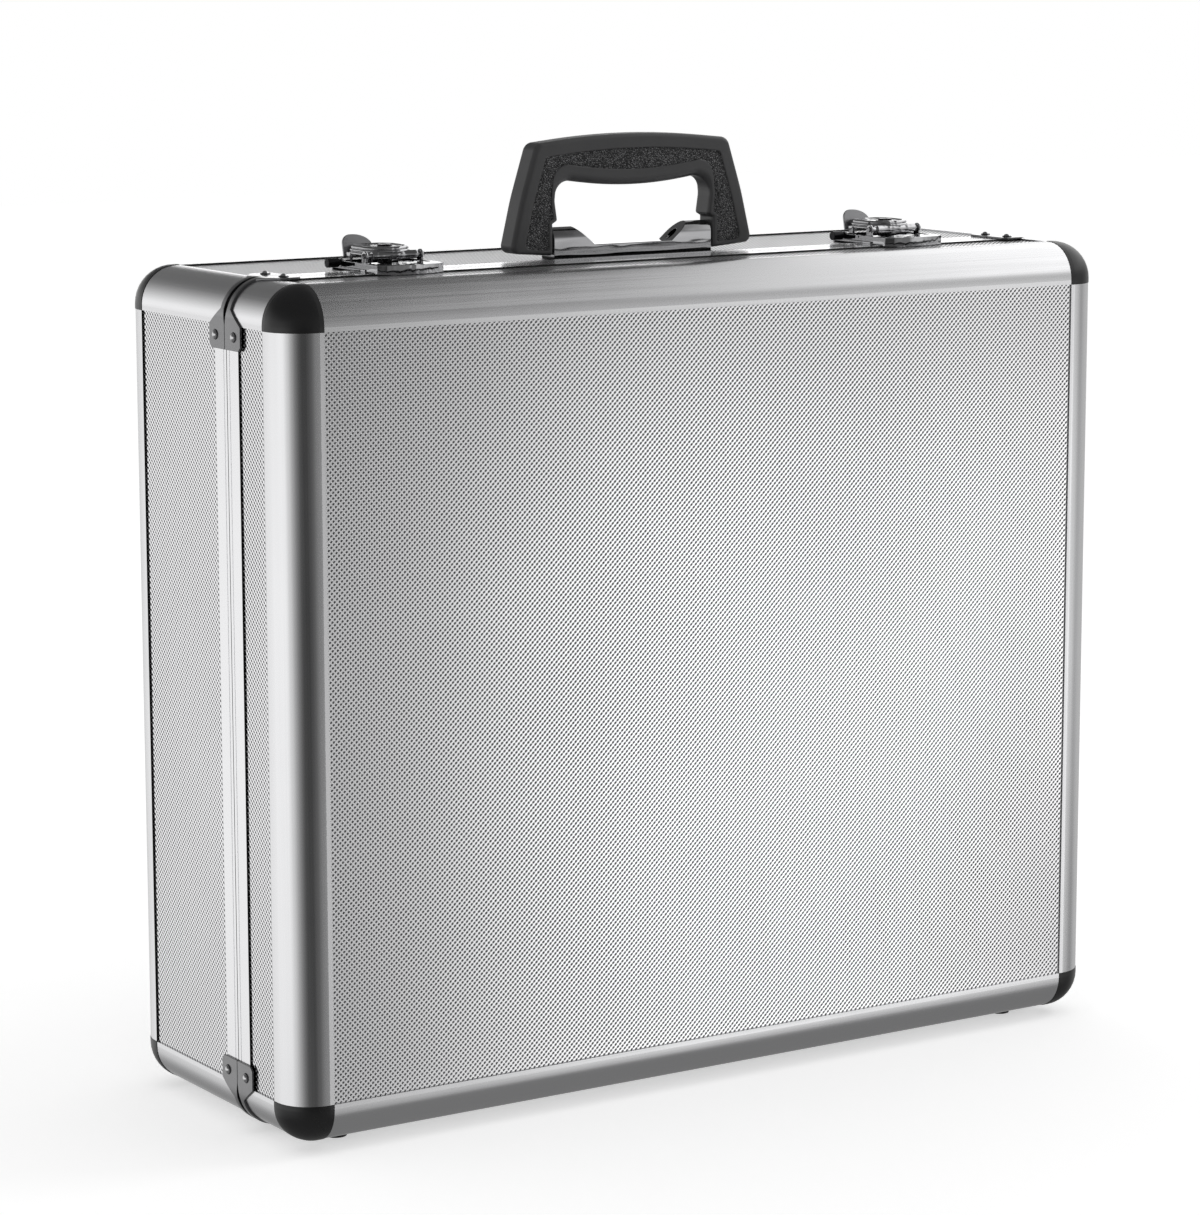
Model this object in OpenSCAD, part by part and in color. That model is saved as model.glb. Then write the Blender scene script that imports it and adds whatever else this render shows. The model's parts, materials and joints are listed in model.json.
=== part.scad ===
// Aluminium-framed tool case, standing upright on its feet.
// Two shells of laminated board are held in quarter-round aluminium edges with moulded corner
// caps. They meet at a tongue-and-groove split frame, hinge along the bottom, and are closed
// by two key-locking draw latches beside a fold-down handle.
// Frame: origin under the middle of the case on the surface that it stands on, +X along the
// width, -Y the lid's face, +Z up.

/* [Case] */
// Width over the side faces
case_w = 490; // [430:5:560]
// Height over the top and bottom faces
case_h = 415; // [360:5:480]
// Depth of the front shell, the lid, from its face to the split
lid_d = 57.5; // [54:0.5:80]
// Depth of the rear shell, the base, from the split to its face
base_d = 110.5; // [100:0.5:150]

/* [Aluminium edges] */
// Outer radius of the quarter-round edges
edge_r = 19; // [16:0.5:22]
// Width of the flat lip beyond the quarter round
lip_w = 2.3; // [1.5:0.1:4]
// Wall of the edge profile, which is also how far the boards lie below its faces
lip_t = 0.8; // [0.7:0.1:1.4]
// Wall of the profile's inner legs
leg_t = 1.2; // [0.8:0.1:1.6]

/* [Panels] */
// Thickness of the laminated boards
board_t = 3.6; // [3:0.1:4.5]
// Thickness of the foam lining
lining_t = 2.5; // [1.5:0.1:4]

/* [Split frame] */
// Width of each shell's split frame
frame_w = 12; // [10:0.5:16]
// Gap between the two frames when the case is closed
split_gap = 0.6; // [0.4:0.1:1.2]
// How far the lid's tongue enters the base's groove
tongue_l = 3.2; // [2:0.1:4]
// Thickness of the tongue
tongue_t = 1.5; // [1:0.1:1.8]

/* [Corner caps] */
// How far the moulded caps stand above the aluminium
cap_proud = 0.25; // [0.1:0.05:0.6]
// Wall of the caps
cap_wall = 2; // [1.5:0.1:3]

/* [Corner straps] */
// Thickness of the strap's sheet
strap_t = 1; // [0.8:0.1:1.5]
// Reach of each tab from the corner of the case
strap_l = 33; // [30:0.5:38]
// Width of each tab
tab_w = 15.4; // [13:0.1:18]
// Width of the neck that runs round the corner
neck_w = 3.5; // [2.5:0.1:5]
// Diameter of the rivets' domed heads
rivet_d = 5.4; // [4:0.1:6.5]
// Height of the rivets' domed heads
rivet_h = 1.6; // [1:0.1:2.2]
// Diameter of the rivets' shanks
shank_d = 3; // [2.4:0.1:3.4]

/* [Feet] */
// Height of the feet below the case
foot_h = 4.2; // [4.2:0.1:8]
// Diameter of the feet
foot_d = 10.8; // [8:0.1:11]
// Distance from the case's ends to the middle of each foot
foot_in_x = 38.4; // [32:0.1:60]
// Distance from the front and rear faces to the middle of each foot
foot_in_y = 30; // [29:0.1:32]

/* [Hinges] */
// Length of each hinge
hinge_l = 60; // [40:1:80]
// Distance from the case's ends to the middle of each hinge
hinge_in = 95; // [85:1:150]
// Thickness of the hinge leaves
leaf_t = 0.9; // [0.7:0.1:1.2]
// Diameter of the hinge barrel
barrel_d = 3.6; // [3.4:0.1:4]
// Diameter of the hinge pin
hinge_pin_d = 2; // [1.6:0.1:2.2]

/* [Handle] */
// Width of the handle over its feet
handle_w = 147.4; // [136:0.2:160]
// Height of the handle's crest above the case
handle_h = 61; // [56:0.5:70]
// Depth of the handle from front to back
handle_t = 13.4; // [12.6:0.1:18]
// Width of the finger opening
opening_w = 97.2; // [92:0.2:104]
// Thickness of the grip at its middle
grip_t = 26; // [22:0.1:28]
// Height of the handle's pivot above the case
pivot_h = 8.6; // [8.4:0.1:9.6]
// Diameter of the handle's pivot pins
handle_pin_d = 5; // [4:0.1:6]
// Depth of the channel bracket from front to back
bracket_t = 12; // [10.6:0.1:13.2]
// Height of the bracket's raised ends above the case
bracket_h = 15; // [14:0.1:17]
// Height of the bracket's low middle above the case
bracket_low = 5.7; // [4.5:0.1:8]
// Wall of the bracket's sheet
bracket_wall = 1.5; // [1:0.1:2]

/* [Latches] */
// Distance from the case's ends to the middle of each latch
latch_in = 93; // [75:1:115]
// Width of the hook plate
hook_w = 37; // [34:0.5:42]
// Height of the hook plate above the case
hook_h = 4.3; // [4:0.1:5]
// How far the hook plate reaches in front of the split
hook_reach = 18.5; // [17:0.1:22]
// Width of the lever's cover
lever_w = 27; // [24:0.5:28]
// Length of the lever's cover
lever_l = 30; // [28:0.5:34]
// Height of the lever's cover above the case
lever_h = 11.6; // [11:0.1:13]
// Distance of the lever's pivot behind the split
lever_y = 2.5; // [2.4:0.1:3.2]
// Height of the lever's pivot above the case
lever_z = 7.4; // [7.2:0.1:7.8]
// Distance of the hook's rod behind the split
rod_y = 22; // [21:0.1:24]
// Height of the hook's rod above the case
rod_z = 3.4; // [3.3:0.1:3.6]
// Sheet thickness of the latch's plates
latch_t = 1.2; // [1:0.1:1.4]
// Diameter of the lock cylinder
lock_d = 7.2; // [6:0.1:8.4]
// Distance of the lock cylinder behind the split
lock_y = 10.4; // [10:0.1:11]

/* [Lid stays] */
// Height of the stays' pivots above the hinge line
stay_h = 150; // [120:1:180]
// Distance of the stays' pivots from the split
stay_y = 22; // [18:0.5:26]
// Width of the stay arms
stay_w = 11; // [9:0.5:14]
// Thickness of the stay arms
stay_t = 1.4; // [1:0.1:2]
// Diameter of the studs that the arms turn on
stud_d = 5; // [4:0.1:6]
// Angle to which the lid opens before the arms meet their stops
lid_open = 100; // [80:1:105]

/* [Hidden] */
$fn = 96;

// Clearances: a running fit round a pin, a pressed fit, the play of a board in its slot, the
// gap where one edge piece ends at the next, and the least gap between moving pieces.
run_fit = 0.05;
press_fit = 0.02;
slot_play = 0.1;
butt_gap = 0.1;
move_gap = 0.5;
eps = 0.01;
over = 1;               // how far a cutter runs past the face that it cuts

case_d = lid_d + base_d;
hinge_x = case_w / 2 - hinge_in;
latch_x = case_w / 2 - latch_in;
split_y = (lid_d - base_d) / 2;
top_z = foot_h + case_h;

edge_end = edge_r + lip_w;                    // outer corner to the end of the lips
leg_in = lip_t + board_t + slot_play;         // outer face to the inner leg
leg_out = leg_in + leg_t;                     // outer face to the inner leg's inside
web_at = edge_r - leg_t;                      // start of the web that stops the board's edge
board_in = web_at + leg_t + slot_play;        // outer corner to the board's edge
frame_end = edge_end + butt_gap;              // outer corner to the end of a frame bar
rail_gap = 2;                                 // split plane to the end of a corner rail

frame_front = split_gap / 2;                  // split plane to the frame's face
groove_side = 0.5;                            // play of the tongue on each side
groove_floor = tongue_l + 1.8;                // split plane to the bottom of the groove
tongue_u = (lip_t + leg_in - tongue_t) / 2;   // outer face to the tongue
base_stop = groove_floor + leg_t;             // split plane to the base's board slot
lid_stop = frame_front + 1.6;                 // split plane to the lid's board slot
bead_at = 2.6;                                // split plane to the shallow line in the strip
bead_w = 0.6;
bead_depth = 0.3;

rivet_v = 9.2;                                // split plane to the rivets
rivet_in = 26.4;                              // outer corner to the rivets

barrel_r = barrel_d / 2;
hinge_z = foot_h - barrel_r - butt_gap;       // the lid turns about this line, at the split
knuckles = 5;
knuckle_gap = 0.2;

lining_out = leg_out + slot_play;
lining_in = lining_out + lining_t;

// Shells: a shell is modelled with its split plane at y = 0, its depth along +y and its
// bottom at z = 0, and these two put it in its place.
module in_base() translate([0, split_y, foot_h]) children();
module in_lid() translate([0, split_y, foot_h]) mirror([0, 1, 0]) children();

// One copy in each of the four corners of the shell's outline, drawn in the lower left one
module corners4()
    for (sx = [0, 1], sz = [0, 1])
        translate([0, 0, case_h / 2]) mirror([sx, 0, 0]) mirror([0, 0, sz])
            translate([-case_w / 2, 0, -case_h / 2]) children();

// Copies on the left and the right of the middle plane, drawn on the left
module both_sides()
    for (sx = [0, 1]) mirror([sx, 0, 0]) children();

// ---- Edge profile -------------------------------------------------------------------

// A square of side l from the outer corner with its corner rounded, grown outwards by t
module corner_fill(t, l)
    difference() {
        translate([-t, -t]) square(l + t);
        difference() {
            translate([-t - over, -t - over]) square(edge_r + t + over);
            translate([edge_r, edge_r]) circle(edge_r + t);
        }
    }

// Section of the extruded edge: a quarter-round skin with two lips, and behind each lip a
// slot for a board, closed by a web and an inner leg
module edge_section()
    intersection() {
        corner_fill(0, edge_end);
        union() {
            difference() {
                corner_fill(0, edge_end);
                corner_fill(-lip_t, edge_end + over);
            }
            for (swap = [0, 1]) mirror([swap, -swap]) {
                translate([0, web_at]) square([leg_out, leg_t]);
                translate([leg_in, leg_in]) square([leg_t, edge_end - leg_in]);
            }
        }
    }

module edge_bar(l) linear_extrude(l, center = true) edge_section();

rim_l_x = case_w - 2 * (edge_end + butt_gap);
rim_l_z = case_h - 2 * (edge_end + butt_gap);

module rim_top(d)
    color("silver") translate([0, d, case_h]) mirror([0, 1, 0]) rotate([0, 90, 0]) edge_bar(rim_l_x);

module rim_bottom(d)
    translate([0, 0, case_h]) mirror([0, 0, 1]) rim_top(d);

module rim_left(d)
    color("silver") translate([-case_w / 2, d, case_h / 2]) mirror([0, 1, 0]) edge_bar(rim_l_z);

module rim_right(d) mirror([1, 0, 0]) rim_left(d);

module corner_rails(d) {
    l = d - rail_gap - edge_end - butt_gap;
    color("silver") corners4()
        translate([0, rail_gap + l / 2, 0]) rotate([90, 0, 0]) edge_bar(l);
}

// ---- Corner caps ----------------------------------------------------------------------

// The corner of a rounded box, grown outwards by t and cut off at l from the outer faces
module ball_corner(t, l) {
    r = edge_r + t;
    flat = l - edge_r;
    intersection() {
        translate([-t, -t, -t]) cube(l + t);
        translate([edge_r, edge_r, edge_r]) union() {
            sphere(r);
            cylinder(h = flat, r = r);
            rotate([0, 90, 0]) cylinder(h = flat, r = r);
            rotate([-90, 0, 0]) cylinder(h = flat, r = r);
            translate([0, 0, -r]) cube([flat, flat, flat + r]);
            translate([0, -r, 0]) cube([flat, flat + r, flat]);
            translate([-r, 0, 0]) cube([flat + r, flat, flat]);
        }
    }
}

module corner_caps(d)
    color([0.09, 0.09, 0.1]) corners4() translate([0, d, 0]) mirror([0, 1, 0])
        difference() {
            ball_corner(cap_proud, edge_end);
            ball_corner(-cap_wall, edge_end + over);
            for (turn = [0, 1, 2]) rotate(turn * 120, [1, 1, 1])
                translate([edge_r, edge_r, lip_t]) cube([edge_end, edge_end, cap_wall]);
        }

// ---- Boards ----------------------------------------------------------------------------

module face_panel(d)
    color([0.8, 0.8, 0.81])
        translate([-case_w / 2 + board_in, d - lip_t - board_t, board_in])
            cube([case_w - 2 * board_in, board_t, case_h - 2 * board_in]);

module top_panel(d, stop)
    color([0.8, 0.8, 0.81])
        translate([-case_w / 2 + board_in, stop + slot_play, case_h - lip_t - board_t])
            cube([case_w - 2 * board_in, d - board_in - stop - slot_play, board_t]);

module bottom_panel(d, stop)
    translate([0, 0, case_h]) mirror([0, 0, 1]) top_panel(d, stop);

module left_panel(d, stop)
    color([0.8, 0.8, 0.81])
        translate([-case_w / 2 + lip_t, stop + slot_play, board_in])
            cube([board_t, d - board_in - stop - slot_play, case_h - 2 * board_in]);

module right_panel(d, stop) mirror([1, 0, 0]) left_panel(d, stop);

// ---- Split frame ------------------------------------------------------------------------

// Sections of the frames, with x from the outer face inwards and y from the split plane
module frame_blank(stop)
    difference() {
        translate([0, frame_front]) square([leg_out, frame_w - frame_front]);
        translate([lip_t, stop]) square([leg_in - lip_t, frame_w]);
        translate([-over, bead_at]) square([over + bead_depth, bead_w]);
    }

module base_frame_section()
    difference() {
        frame_blank(base_stop);
        translate([tongue_u - groove_side, -over])
            square([tongue_t + 2 * groove_side, groove_floor + over]);
    }

module lid_frame_section(tongue) {
    frame_blank(lid_stop);
    if (tongue) translate([tongue_u, -tongue_l]) square([tongue_t, tongue_l + frame_front + eps]);
}

frame_l_x = case_w - 2 * frame_end;
frame_l_z = case_h - 2 * frame_end;

// Places a section as the bar along the top, and as the pair of bars up the sides
module bar_top()
    translate([0, 0, case_h]) rotate([0, 90, 0]) linear_extrude(frame_l_x, center = true) children();

module bar_sides()
    both_sides() translate([-case_w / 2, 0, case_h / 2])
        linear_extrude(frame_l_z, center = true) children();

module side_rivet_holes()
    corners4() translate([-over, rivet_v, rivet_in]) rotate([0, 90, 0])
        cylinder(h = lip_t + 2 * over, d = shank_d + 2 * press_fit);

module flat_rivet_holes()
    corners4() translate([rivet_in, rivet_v, -over]) cylinder(h = lip_t + 2 * over, d = shank_d + 2 * press_fit);

module base_frame_top()
    color("gainsboro") difference() { bar_top() base_frame_section(); flat_rivet_holes(); }

module base_frame_bottom()
    color("gainsboro") difference() {
        translate([0, 0, case_h]) mirror([0, 0, 1]) bar_top() base_frame_section();
        flat_rivet_holes();
    }

module base_frame_sides()
    color("gainsboro") difference() { bar_sides() base_frame_section(); side_rivet_holes(); }

module lid_frame_top()
    color("gainsboro") difference() { bar_top() lid_frame_section(true); flat_rivet_holes(); }

// The bottom bar has no tongue, because it turns on the hinges
module lid_frame_bottom()
    color("gainsboro") difference() {
        translate([0, 0, case_h]) mirror([0, 0, 1]) bar_top() lid_frame_section(false);
        flat_rivet_holes();
    }

module lid_frame_sides()
    color("gainsboro") difference() { bar_sides() lid_frame_section(true); side_rivet_holes(); }

// ---- Corner straps and rivets --------------------------------------------------------------

tab_v = 0.2;                       // split plane to the tab
neck_v = 1.5;                      // split plane to the neck
tab_cut = 2;                       // clipped corners of the tab
shoulder_in = 13.5;                // outer corner to where the shoulder meets the neck

// Outline of one tab with its half of the neck: x from the split, y from the outer corner
module tab_outline()
    polygon([
        [tab_v, strap_l], [tab_v + tab_w - tab_cut, strap_l], [tab_v + tab_w, strap_l - tab_cut],
        [tab_v + tab_w, edge_end], [neck_v + neck_w, shoulder_in], [neck_v + neck_w, -strap_t - over],
        [neck_v, -strap_t - over], [neck_v, shoulder_in], [tab_v, edge_end]
    ]);

module corner_straps()
    color([0.36, 0.36, 0.38]) difference() {
        corners4() intersection() {
            translate([0, tab_v + tab_w, 0]) rotate([90, 0, 0]) linear_extrude(tab_w)
                difference() {
                    corner_fill(strap_t, strap_l);
                    corner_fill(0, strap_l + over);
                }
            union() {
                translate([-strap_t - over, 0, 0]) rotate([90, 0, 90])
                    linear_extrude(strap_l + strap_t + 2 * over) tab_outline();
                translate([0, 0, strap_l + over]) mirror([1, -1, 0]) mirror([0, 0, 1])
                    linear_extrude(strap_l + strap_t + 2 * over) tab_outline();
            }
        }
        corners4() translate([-strap_t - over, rivet_v, rivet_in]) rotate([0, 90, 0])
            cylinder(h = strap_t + 2 * over, d = shank_d + 2 * press_fit);
        corners4() translate([rivet_in, rivet_v, -strap_t - over])
            cylinder(h = strap_t + 2 * over, d = shank_d + 2 * press_fit);
    }

// A domed rivet with its head seated at z = 0 and its shank below
module rivet() {
    dome_r = (rivet_d * rivet_d / 4 + rivet_h * rivet_h) / (2 * rivet_h);
    rotate_extrude() union() {
        intersection() {
            translate([0, rivet_h - dome_r]) circle(dome_r);
            square([rivet_d, rivet_h]);
        }
        translate([0, -strap_t - lip_t]) square([shank_d / 2, strap_t + lip_t + eps]);
    }
}

module rivets()
    color([0.7, 0.7, 0.72]) corners4() {
        translate([-strap_t, rivet_v, rivet_in]) rotate([0, -90, 0]) rivet();
        translate([rivet_in, rivet_v, -strap_t]) mirror([0, 0, 1]) rivet();
    }

// ---- Lining and feet --------------------------------------------------------------------------

// A block that ends l behind the split and lies off from the outer faces, its edges rounded by r
module lining_block(l, off, r) {
    w = case_w - 2 * off;
    h = case_h - 2 * off;
    intersection() {
        translate([0, l, off]) rotate([90, 0, 0]) linear_extrude(l + over) pad(w, h, r);
        translate([0, -l, 0]) linear_extrude(case_h) pad(w, 2 * l, r);
        translate([0, -l, case_h / 2]) rotate([0, -90, 0])
            linear_extrude(w, center = true) pad(h, 2 * l, r);
    }
}

module lining(d)
    color([0.16, 0.16, 0.17]) difference() {
        lining_block(d - lining_out, lining_out, edge_r - lining_out);
        lining_block(d - lining_in, lining_in, edge_r - lining_in);
        translate([-case_w, -2 * over, 0])
            cube([2 * case_w, 2 * over + frame_front + move_gap, case_h]);
    }

module feet(d)
    color([0.06, 0.06, 0.06]) both_sides()
        translate([-case_w / 2 + foot_in_x, d - foot_in_y, -foot_h]) {
            cylinder(h = foot_h + lip_t, d = foot_d);
        }

// ---- Hinges -------------------------------------------------------------------------------------

// One leaf of a hinge: a plate on the frame's outer face with every second knuckle
module hinge_leaf(first) {
    pitch = hinge_l / knuckles;
    difference() {
        union() {
            translate([-hinge_l / 2, 0, -leaf_t]) cube([hinge_l, frame_w - move_gap, leaf_t]);
            for (k = [first:2:knuckles - 1])
                translate([-hinge_l / 2 + k * pitch + knuckle_gap / 2, 0, -barrel_r - butt_gap])
                    rotate([0, 90, 0]) cylinder(h = pitch - knuckle_gap, r = barrel_r);
        }
        for (k = [1 - first:2:knuckles - 1])
            translate([-hinge_l / 2 + k * pitch - knuckle_gap / 2, -barrel_r - over, -barrel_d - over])
                cube([pitch + knuckle_gap, 2 * barrel_r + over + move_gap, barrel_d + 2 * over]);
        translate([-hinge_l, 0, -barrel_r - butt_gap]) rotate([0, 90, 0])
            cylinder(h = 2 * hinge_l, d = hinge_pin_d + 2 * (first == 0 ? press_fit : run_fit));
    }
}

module base_hinge_leaves()
    color("silver") both_sides() translate([-hinge_x, 0, 0]) hinge_leaf(0);

module lid_hinge_leaves()
    color("silver") both_sides() translate([-hinge_x, 0, 0]) hinge_leaf(1);

module hinge_pins()
    color("gray") both_sides() translate([-hinge_x - hinge_l / 2, 0, -barrel_r - butt_gap])
        rotate([0, 90, 0]) cylinder(h = hinge_l, d = hinge_pin_d);

// ---- Handle ---------------------------------------------------------------------------------------

unit_of = function (v) v / norm(v);

// Points of the arc of radius r that rounds the corner b between a and c
function corner_arc(a, b, c, r, n) =
    let (
        u = unit_of(a - b), w = unit_of(c - b), half = acos(u * w) / 2,
        m = b + unit_of(u + w) * r / sin(half),
        s = b + u * r / tan(half) - m, e = b + w * r / tan(half) - m,
        a0 = atan2(s.y, s.x), turn = atan2(e.y, e.x) - a0,
        sweep = turn > 180 ? turn - 360 : turn < -180 ? turn + 360 : turn
    )
    [for (i = [0:n]) m + r * [cos(a0 + sweep * i / n), sin(a0 + sweep * i / n)]];

leg_x = opening_w / 2;                      // middle to the inside of the legs
grip_low = handle_h - grip_t;               // underside of the grip at its middle
notch_z = bracket_h + 1.8;                  // top of the notches that clear the bracket
shoulder_x = handle_w / 2 - 15.4;           // middle to the handle's upper corners
shoulder_z = handle_h - 3.7;
corner_z = grip_low + 4.4;                    // upper corners of the finger opening
leg_in_share = 0.4;                         // rounding of the legs' inner edges against the outer ones

// Corners of the outline, anticlockwise from the right foot's inside: [x, z, radius, arc steps].
// Each corner of the inner half has as many steps as the outer corner opposite it.
outer_half = [
    [leg_x + 0.1, 1, 1.2, 3], [handle_w / 2, 3, 4, 4],
    [handle_w / 2 - 6.6, 30, 150, 3], [shoulder_x, shoulder_z, 5.5, 6]
];
crest = [0, shoulder_z + 6, 430, 10];
inner_half = [
    [leg_x + 0.1, notch_z, 0.8, 3], [leg_x - 2.8, notch_z + 1.7, 1.2, 4],
    [leg_x - 1.3, corner_z - 11, 12, 3], [leg_x - 2.4, corner_z, 9, 6]
];
belly = [0, grip_low - 2.6, 275, 10];

mirrored = function (p) [-p[0], p[1], p[2], p[3]];
backwards = function (list) [for (i = [len(list) - 1:-1:0]) list[i]];
handle_corners = concat(
    outer_half, [crest], [for (p = backwards(outer_half)) mirrored(p)],
    [for (p = inner_half) mirrored(p)], [belly], backwards(inner_half));
// Share of the rounding on the edge that leaves each corner
edge_share = concat(
    [leg_in_share], [for (i = [1:6]) 1], [for (i = [7:11]) leg_in_share],
    [1, 1], [for (i = [14:17]) leg_in_share]);

n_corners = len(handle_corners);
corner_xz = function (i) let (p = handle_corners[(i + n_corners) % n_corners]) [p[0], p[1]];
left_of = function (v) [-v.y, v.x];

// Corner i of the outline when every edge has moved inwards by its share of d
inset_corner = function (i, d) let (
    b = corner_xz(i), u = unit_of(b - corner_xz(i - 1)), w = unit_of(corner_xz(i + 1) - b),
    p = b + left_of(u) * d * edge_share[(i + n_corners - 1) % n_corners],
    q = b + left_of(w) * d * edge_share[i % n_corners])
    p + u * cross(q - p, w) / cross(u, w);

// The outline moved inwards by d, with the same number of points at every d
handle_loop = function (d)
    [for (i = [0:n_corners - 1]) let (
        a = inset_corner(i + n_corners - 1, d), b = inset_corner(i, d), c = inset_corner(i + 1, d),
        r = handle_corners[i][2], convex = cross(b - a, c - b) > 0,
        new_r = convex ? max(min(r, 3), r - d) : r)
        each corner_arc(a, b, c, new_r, handle_corners[i][3])];

// Rounded edge and sunk grain field: each step is [inset, distance from the middle plane]
edge_in = 2.3;
edge_drop = 2.3;
grain_in = 7.6;
grain_depth = 0.5;
grain_crown = 0.3;                          // rise of the field between its borders
half_profile = concat(
    [for (a = [0:22.5:90])
        [edge_in * (1 - cos(a)), handle_t / 2 - 0.05 - edge_drop * (1 - sin(a))]],
    [[grain_in - 0.8, handle_t / 2], [grain_in, handle_t / 2 - grain_depth]]);
handle_rings = concat(
    [for (s = backwards(half_profile)) [s[0], -s[1]]], half_profile);

// Faces of the field inside the ring that starts at o, where point i lies opposite n - 1 - i and
// m holds the points half way between them
field_faces = function (o, m, n) let (half = n / 2) concat(
    [[o, o + 1, m], [o + n - 1, o, m], [o + n - 2, o + n - 1, m]],
    [for (i = [1:half - 3]) each [
        [o + i, o + i + 1, m + i, m + i - 1],
        [o + n - 2 - i, o + n - 1 - i, m + i - 1, m + i]]],
    [for (i = [half - 2:half]) [o + i, o + i + 1, m + half - 3]]);

module handle_body() {
    loops = [for (ring = handle_rings) handle_loop(ring[0])];
    n = len(loops[0]);
    rings = len(loops);
    field = [for (i = [1:n / 2 - 2]) (loops[0][i] + loops[0][n - 1 - i]) / 2];
    field_y = handle_t / 2 - grain_depth + grain_crown;
    points = concat(
        [for (k = [0:rings - 1]) for (p = loops[k]) [p.x, handle_rings[k][1], p.y]],
        [for (side = [-1, 1]) for (p = field) [p.x, side * field_y, p.y]]);
    walls = [for (k = [0:rings - 2], i = [0:n - 1]) let (j = (i + 1) % n)
        [k * n + i, k * n + j, (k + 1) * n + j, (k + 1) * n + i]];
    front = [for (f = field_faces(0, rings * n, n)) backwards(f)];
    back = field_faces((rings - 1) * n, rings * n + len(field), n);
    polyhedron(points, concat(front, walls, back));
}

swing_r = pivot_h + lip_t - 0.4;            // the feet are rounded to this about the pivot
bore_l = 11;

module handle_grip()
    color([0.13, 0.13, 0.135]) translate([0, 0, top_z]) difference() {
        handle_body();
        translate([-handle_w, 0, pivot_h]) rotate([0, 90, 0]) difference() {
            translate([0, -handle_w, 0]) cube([handle_w, 2 * handle_w, 2 * handle_w]);
            translate([0, 0, -over]) cylinder(h = 2 * handle_w + 2 * over, r = swing_r);
        }
        both_sides() translate([-leg_x - bore_l, 0, pivot_h]) rotate([0, 90, 0])
            cylinder(h = bore_l + over, d = handle_pin_d + 2 * run_fit);
    }

bracket_x = leg_x - 0.7;                    // middle to the bracket's ends
raised_x = leg_x - 14.2;                    // middle to the top of each slope
low_x = leg_x - 25.4;                       // middle to the foot of each slope

// Front view of the bracket, shrunk by t
module bracket_front(t)
    polygon([
        [-bracket_x + t, -lip_t - eps], [-bracket_x + t, bracket_h - t], [-raised_x - t / 2, bracket_h - t],
        [-low_x - t / 2, bracket_low - t], [low_x + t / 2, bracket_low - t],
        [raised_x + t / 2, bracket_h - t], [bracket_x - t, bracket_h - t], [bracket_x - t, -lip_t - eps]
    ]);

// End view of the bracket, an arch shrunk by t
module bracket_end(t) {
    r = bracket_t / 2;
    translate([0, bracket_h - r]) circle(r - t);
    translate([-r + t, -lip_t - over]) square([bracket_t - 2 * t, bracket_h - r + lip_t + over]);
}

module bracket_form(t)
    intersection() {
        translate([0, bracket_t, 0]) rotate([90, 0, 0]) linear_extrude(2 * bracket_t) bracket_front(t);
        rotate([90, 0, 90]) linear_extrude(2 * bracket_x + 2 * over, center = true) bracket_end(t);
    }

module handle_bracket()
    color([0.75, 0.75, 0.77]) translate([0, 0, top_z]) difference() {
        intersection() {
            bracket_form(0);
            translate([-handle_w, -handle_w, -lip_t]) cube(2 * handle_w);
        }
        translate([0, 0, -over]) bracket_form(bracket_wall);
        bracket_form(bracket_wall);
        translate([-handle_w, 0, pivot_h]) rotate([0, 90, 0])
            cylinder(h = 2 * handle_w, d = handle_pin_d + 2 * press_fit);
    }

pin_in = 6;                                 // how far each pin reaches into the bracket

module handle_pins()
    color([0.55, 0.55, 0.57]) both_sides() translate([-leg_x - bore_l + move_gap, 0, top_z + pivot_h])
        rotate([0, 90, 0])
            cylinder(h = bore_l - move_gap + leg_x - bracket_x + bracket_wall + pin_in, d = handle_pin_d);

// ---- Latches ------------------------------------------------------------------------------------------

// A latch is drawn with the split plane at y = 0, the lid towards -y and the case's top at z = 0.
module in_latch(side) translate([side * latch_x, split_y, top_z]) children();

pin_r = 1.25;                               // lever pin
rod_r = 1.1;                                // hook rod
arm_x = hook_w / 2 - latch_t;               // middle to the inside of the hook's arms
ear_x = arm_x - 1.2;                        // middle to the outside of the plate's ears
roll_r = 2.1;                               // rolled front edge of the lever
plate_front = 0.6;
plate_l = 33;
plate_x = arm_x - 0.6;
lock_r = lock_d / 2;
boss_r = lock_r + 1.2;
cam_z = 3;                                  // underside of the lock's cam
cam_t = 1.3;
cam_r = 6.8;
staple_y = lock_y + boss_r + 0.8;
staple_z = cam_z + cam_t + move_gap;

// A bore along X through the whole latch
module cross_bore(y, z, r)
    translate([-hook_w, y, z]) rotate([0, 90, 0]) cylinder(h = 2 * hook_w, r = r);

// Base plate with a turned-down rear edge, two ears for the lever pin and the lock's staple
module latch_plate()
    color([0.75, 0.75, 0.77]) difference() {
        union() {
            translate([-plate_x, plate_front, 0]) cube([2 * plate_x, plate_l, latch_t]);
            translate([-plate_x, plate_front + plate_l - latch_t, -lip_t])
                cube([2 * plate_x, latch_t, lip_t + latch_t]);
            both_sides() translate([-ear_x, 0, 0]) {
                translate([0, lever_y, lever_z]) rotate([0, 90, 0]) cylinder(h = latch_t, r = 2.4);
                translate([0, plate_front, 0]) cube([latch_t, lever_y + 1.9, lever_z]);
            }
            both_sides() translate([-5.4, staple_y, 0]) cube([1.2, 1.6, staple_z + 1.2]);
            translate([-5.4, staple_y, staple_z]) cube([10.8, 1.6, 1.2]);
        }
        cross_bore(lever_y, lever_z, pin_r + press_fit);
    }

module latch_pins()
    color([0.6, 0.6, 0.62]) for (side = [-1, 1]) in_latch(side)
        translate([-ear_x - 0.9, lever_y, lever_z]) rotate([0, 90, 0])
            cylinder(h = 2 * ear_x + 1.8, r = pin_r);

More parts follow.
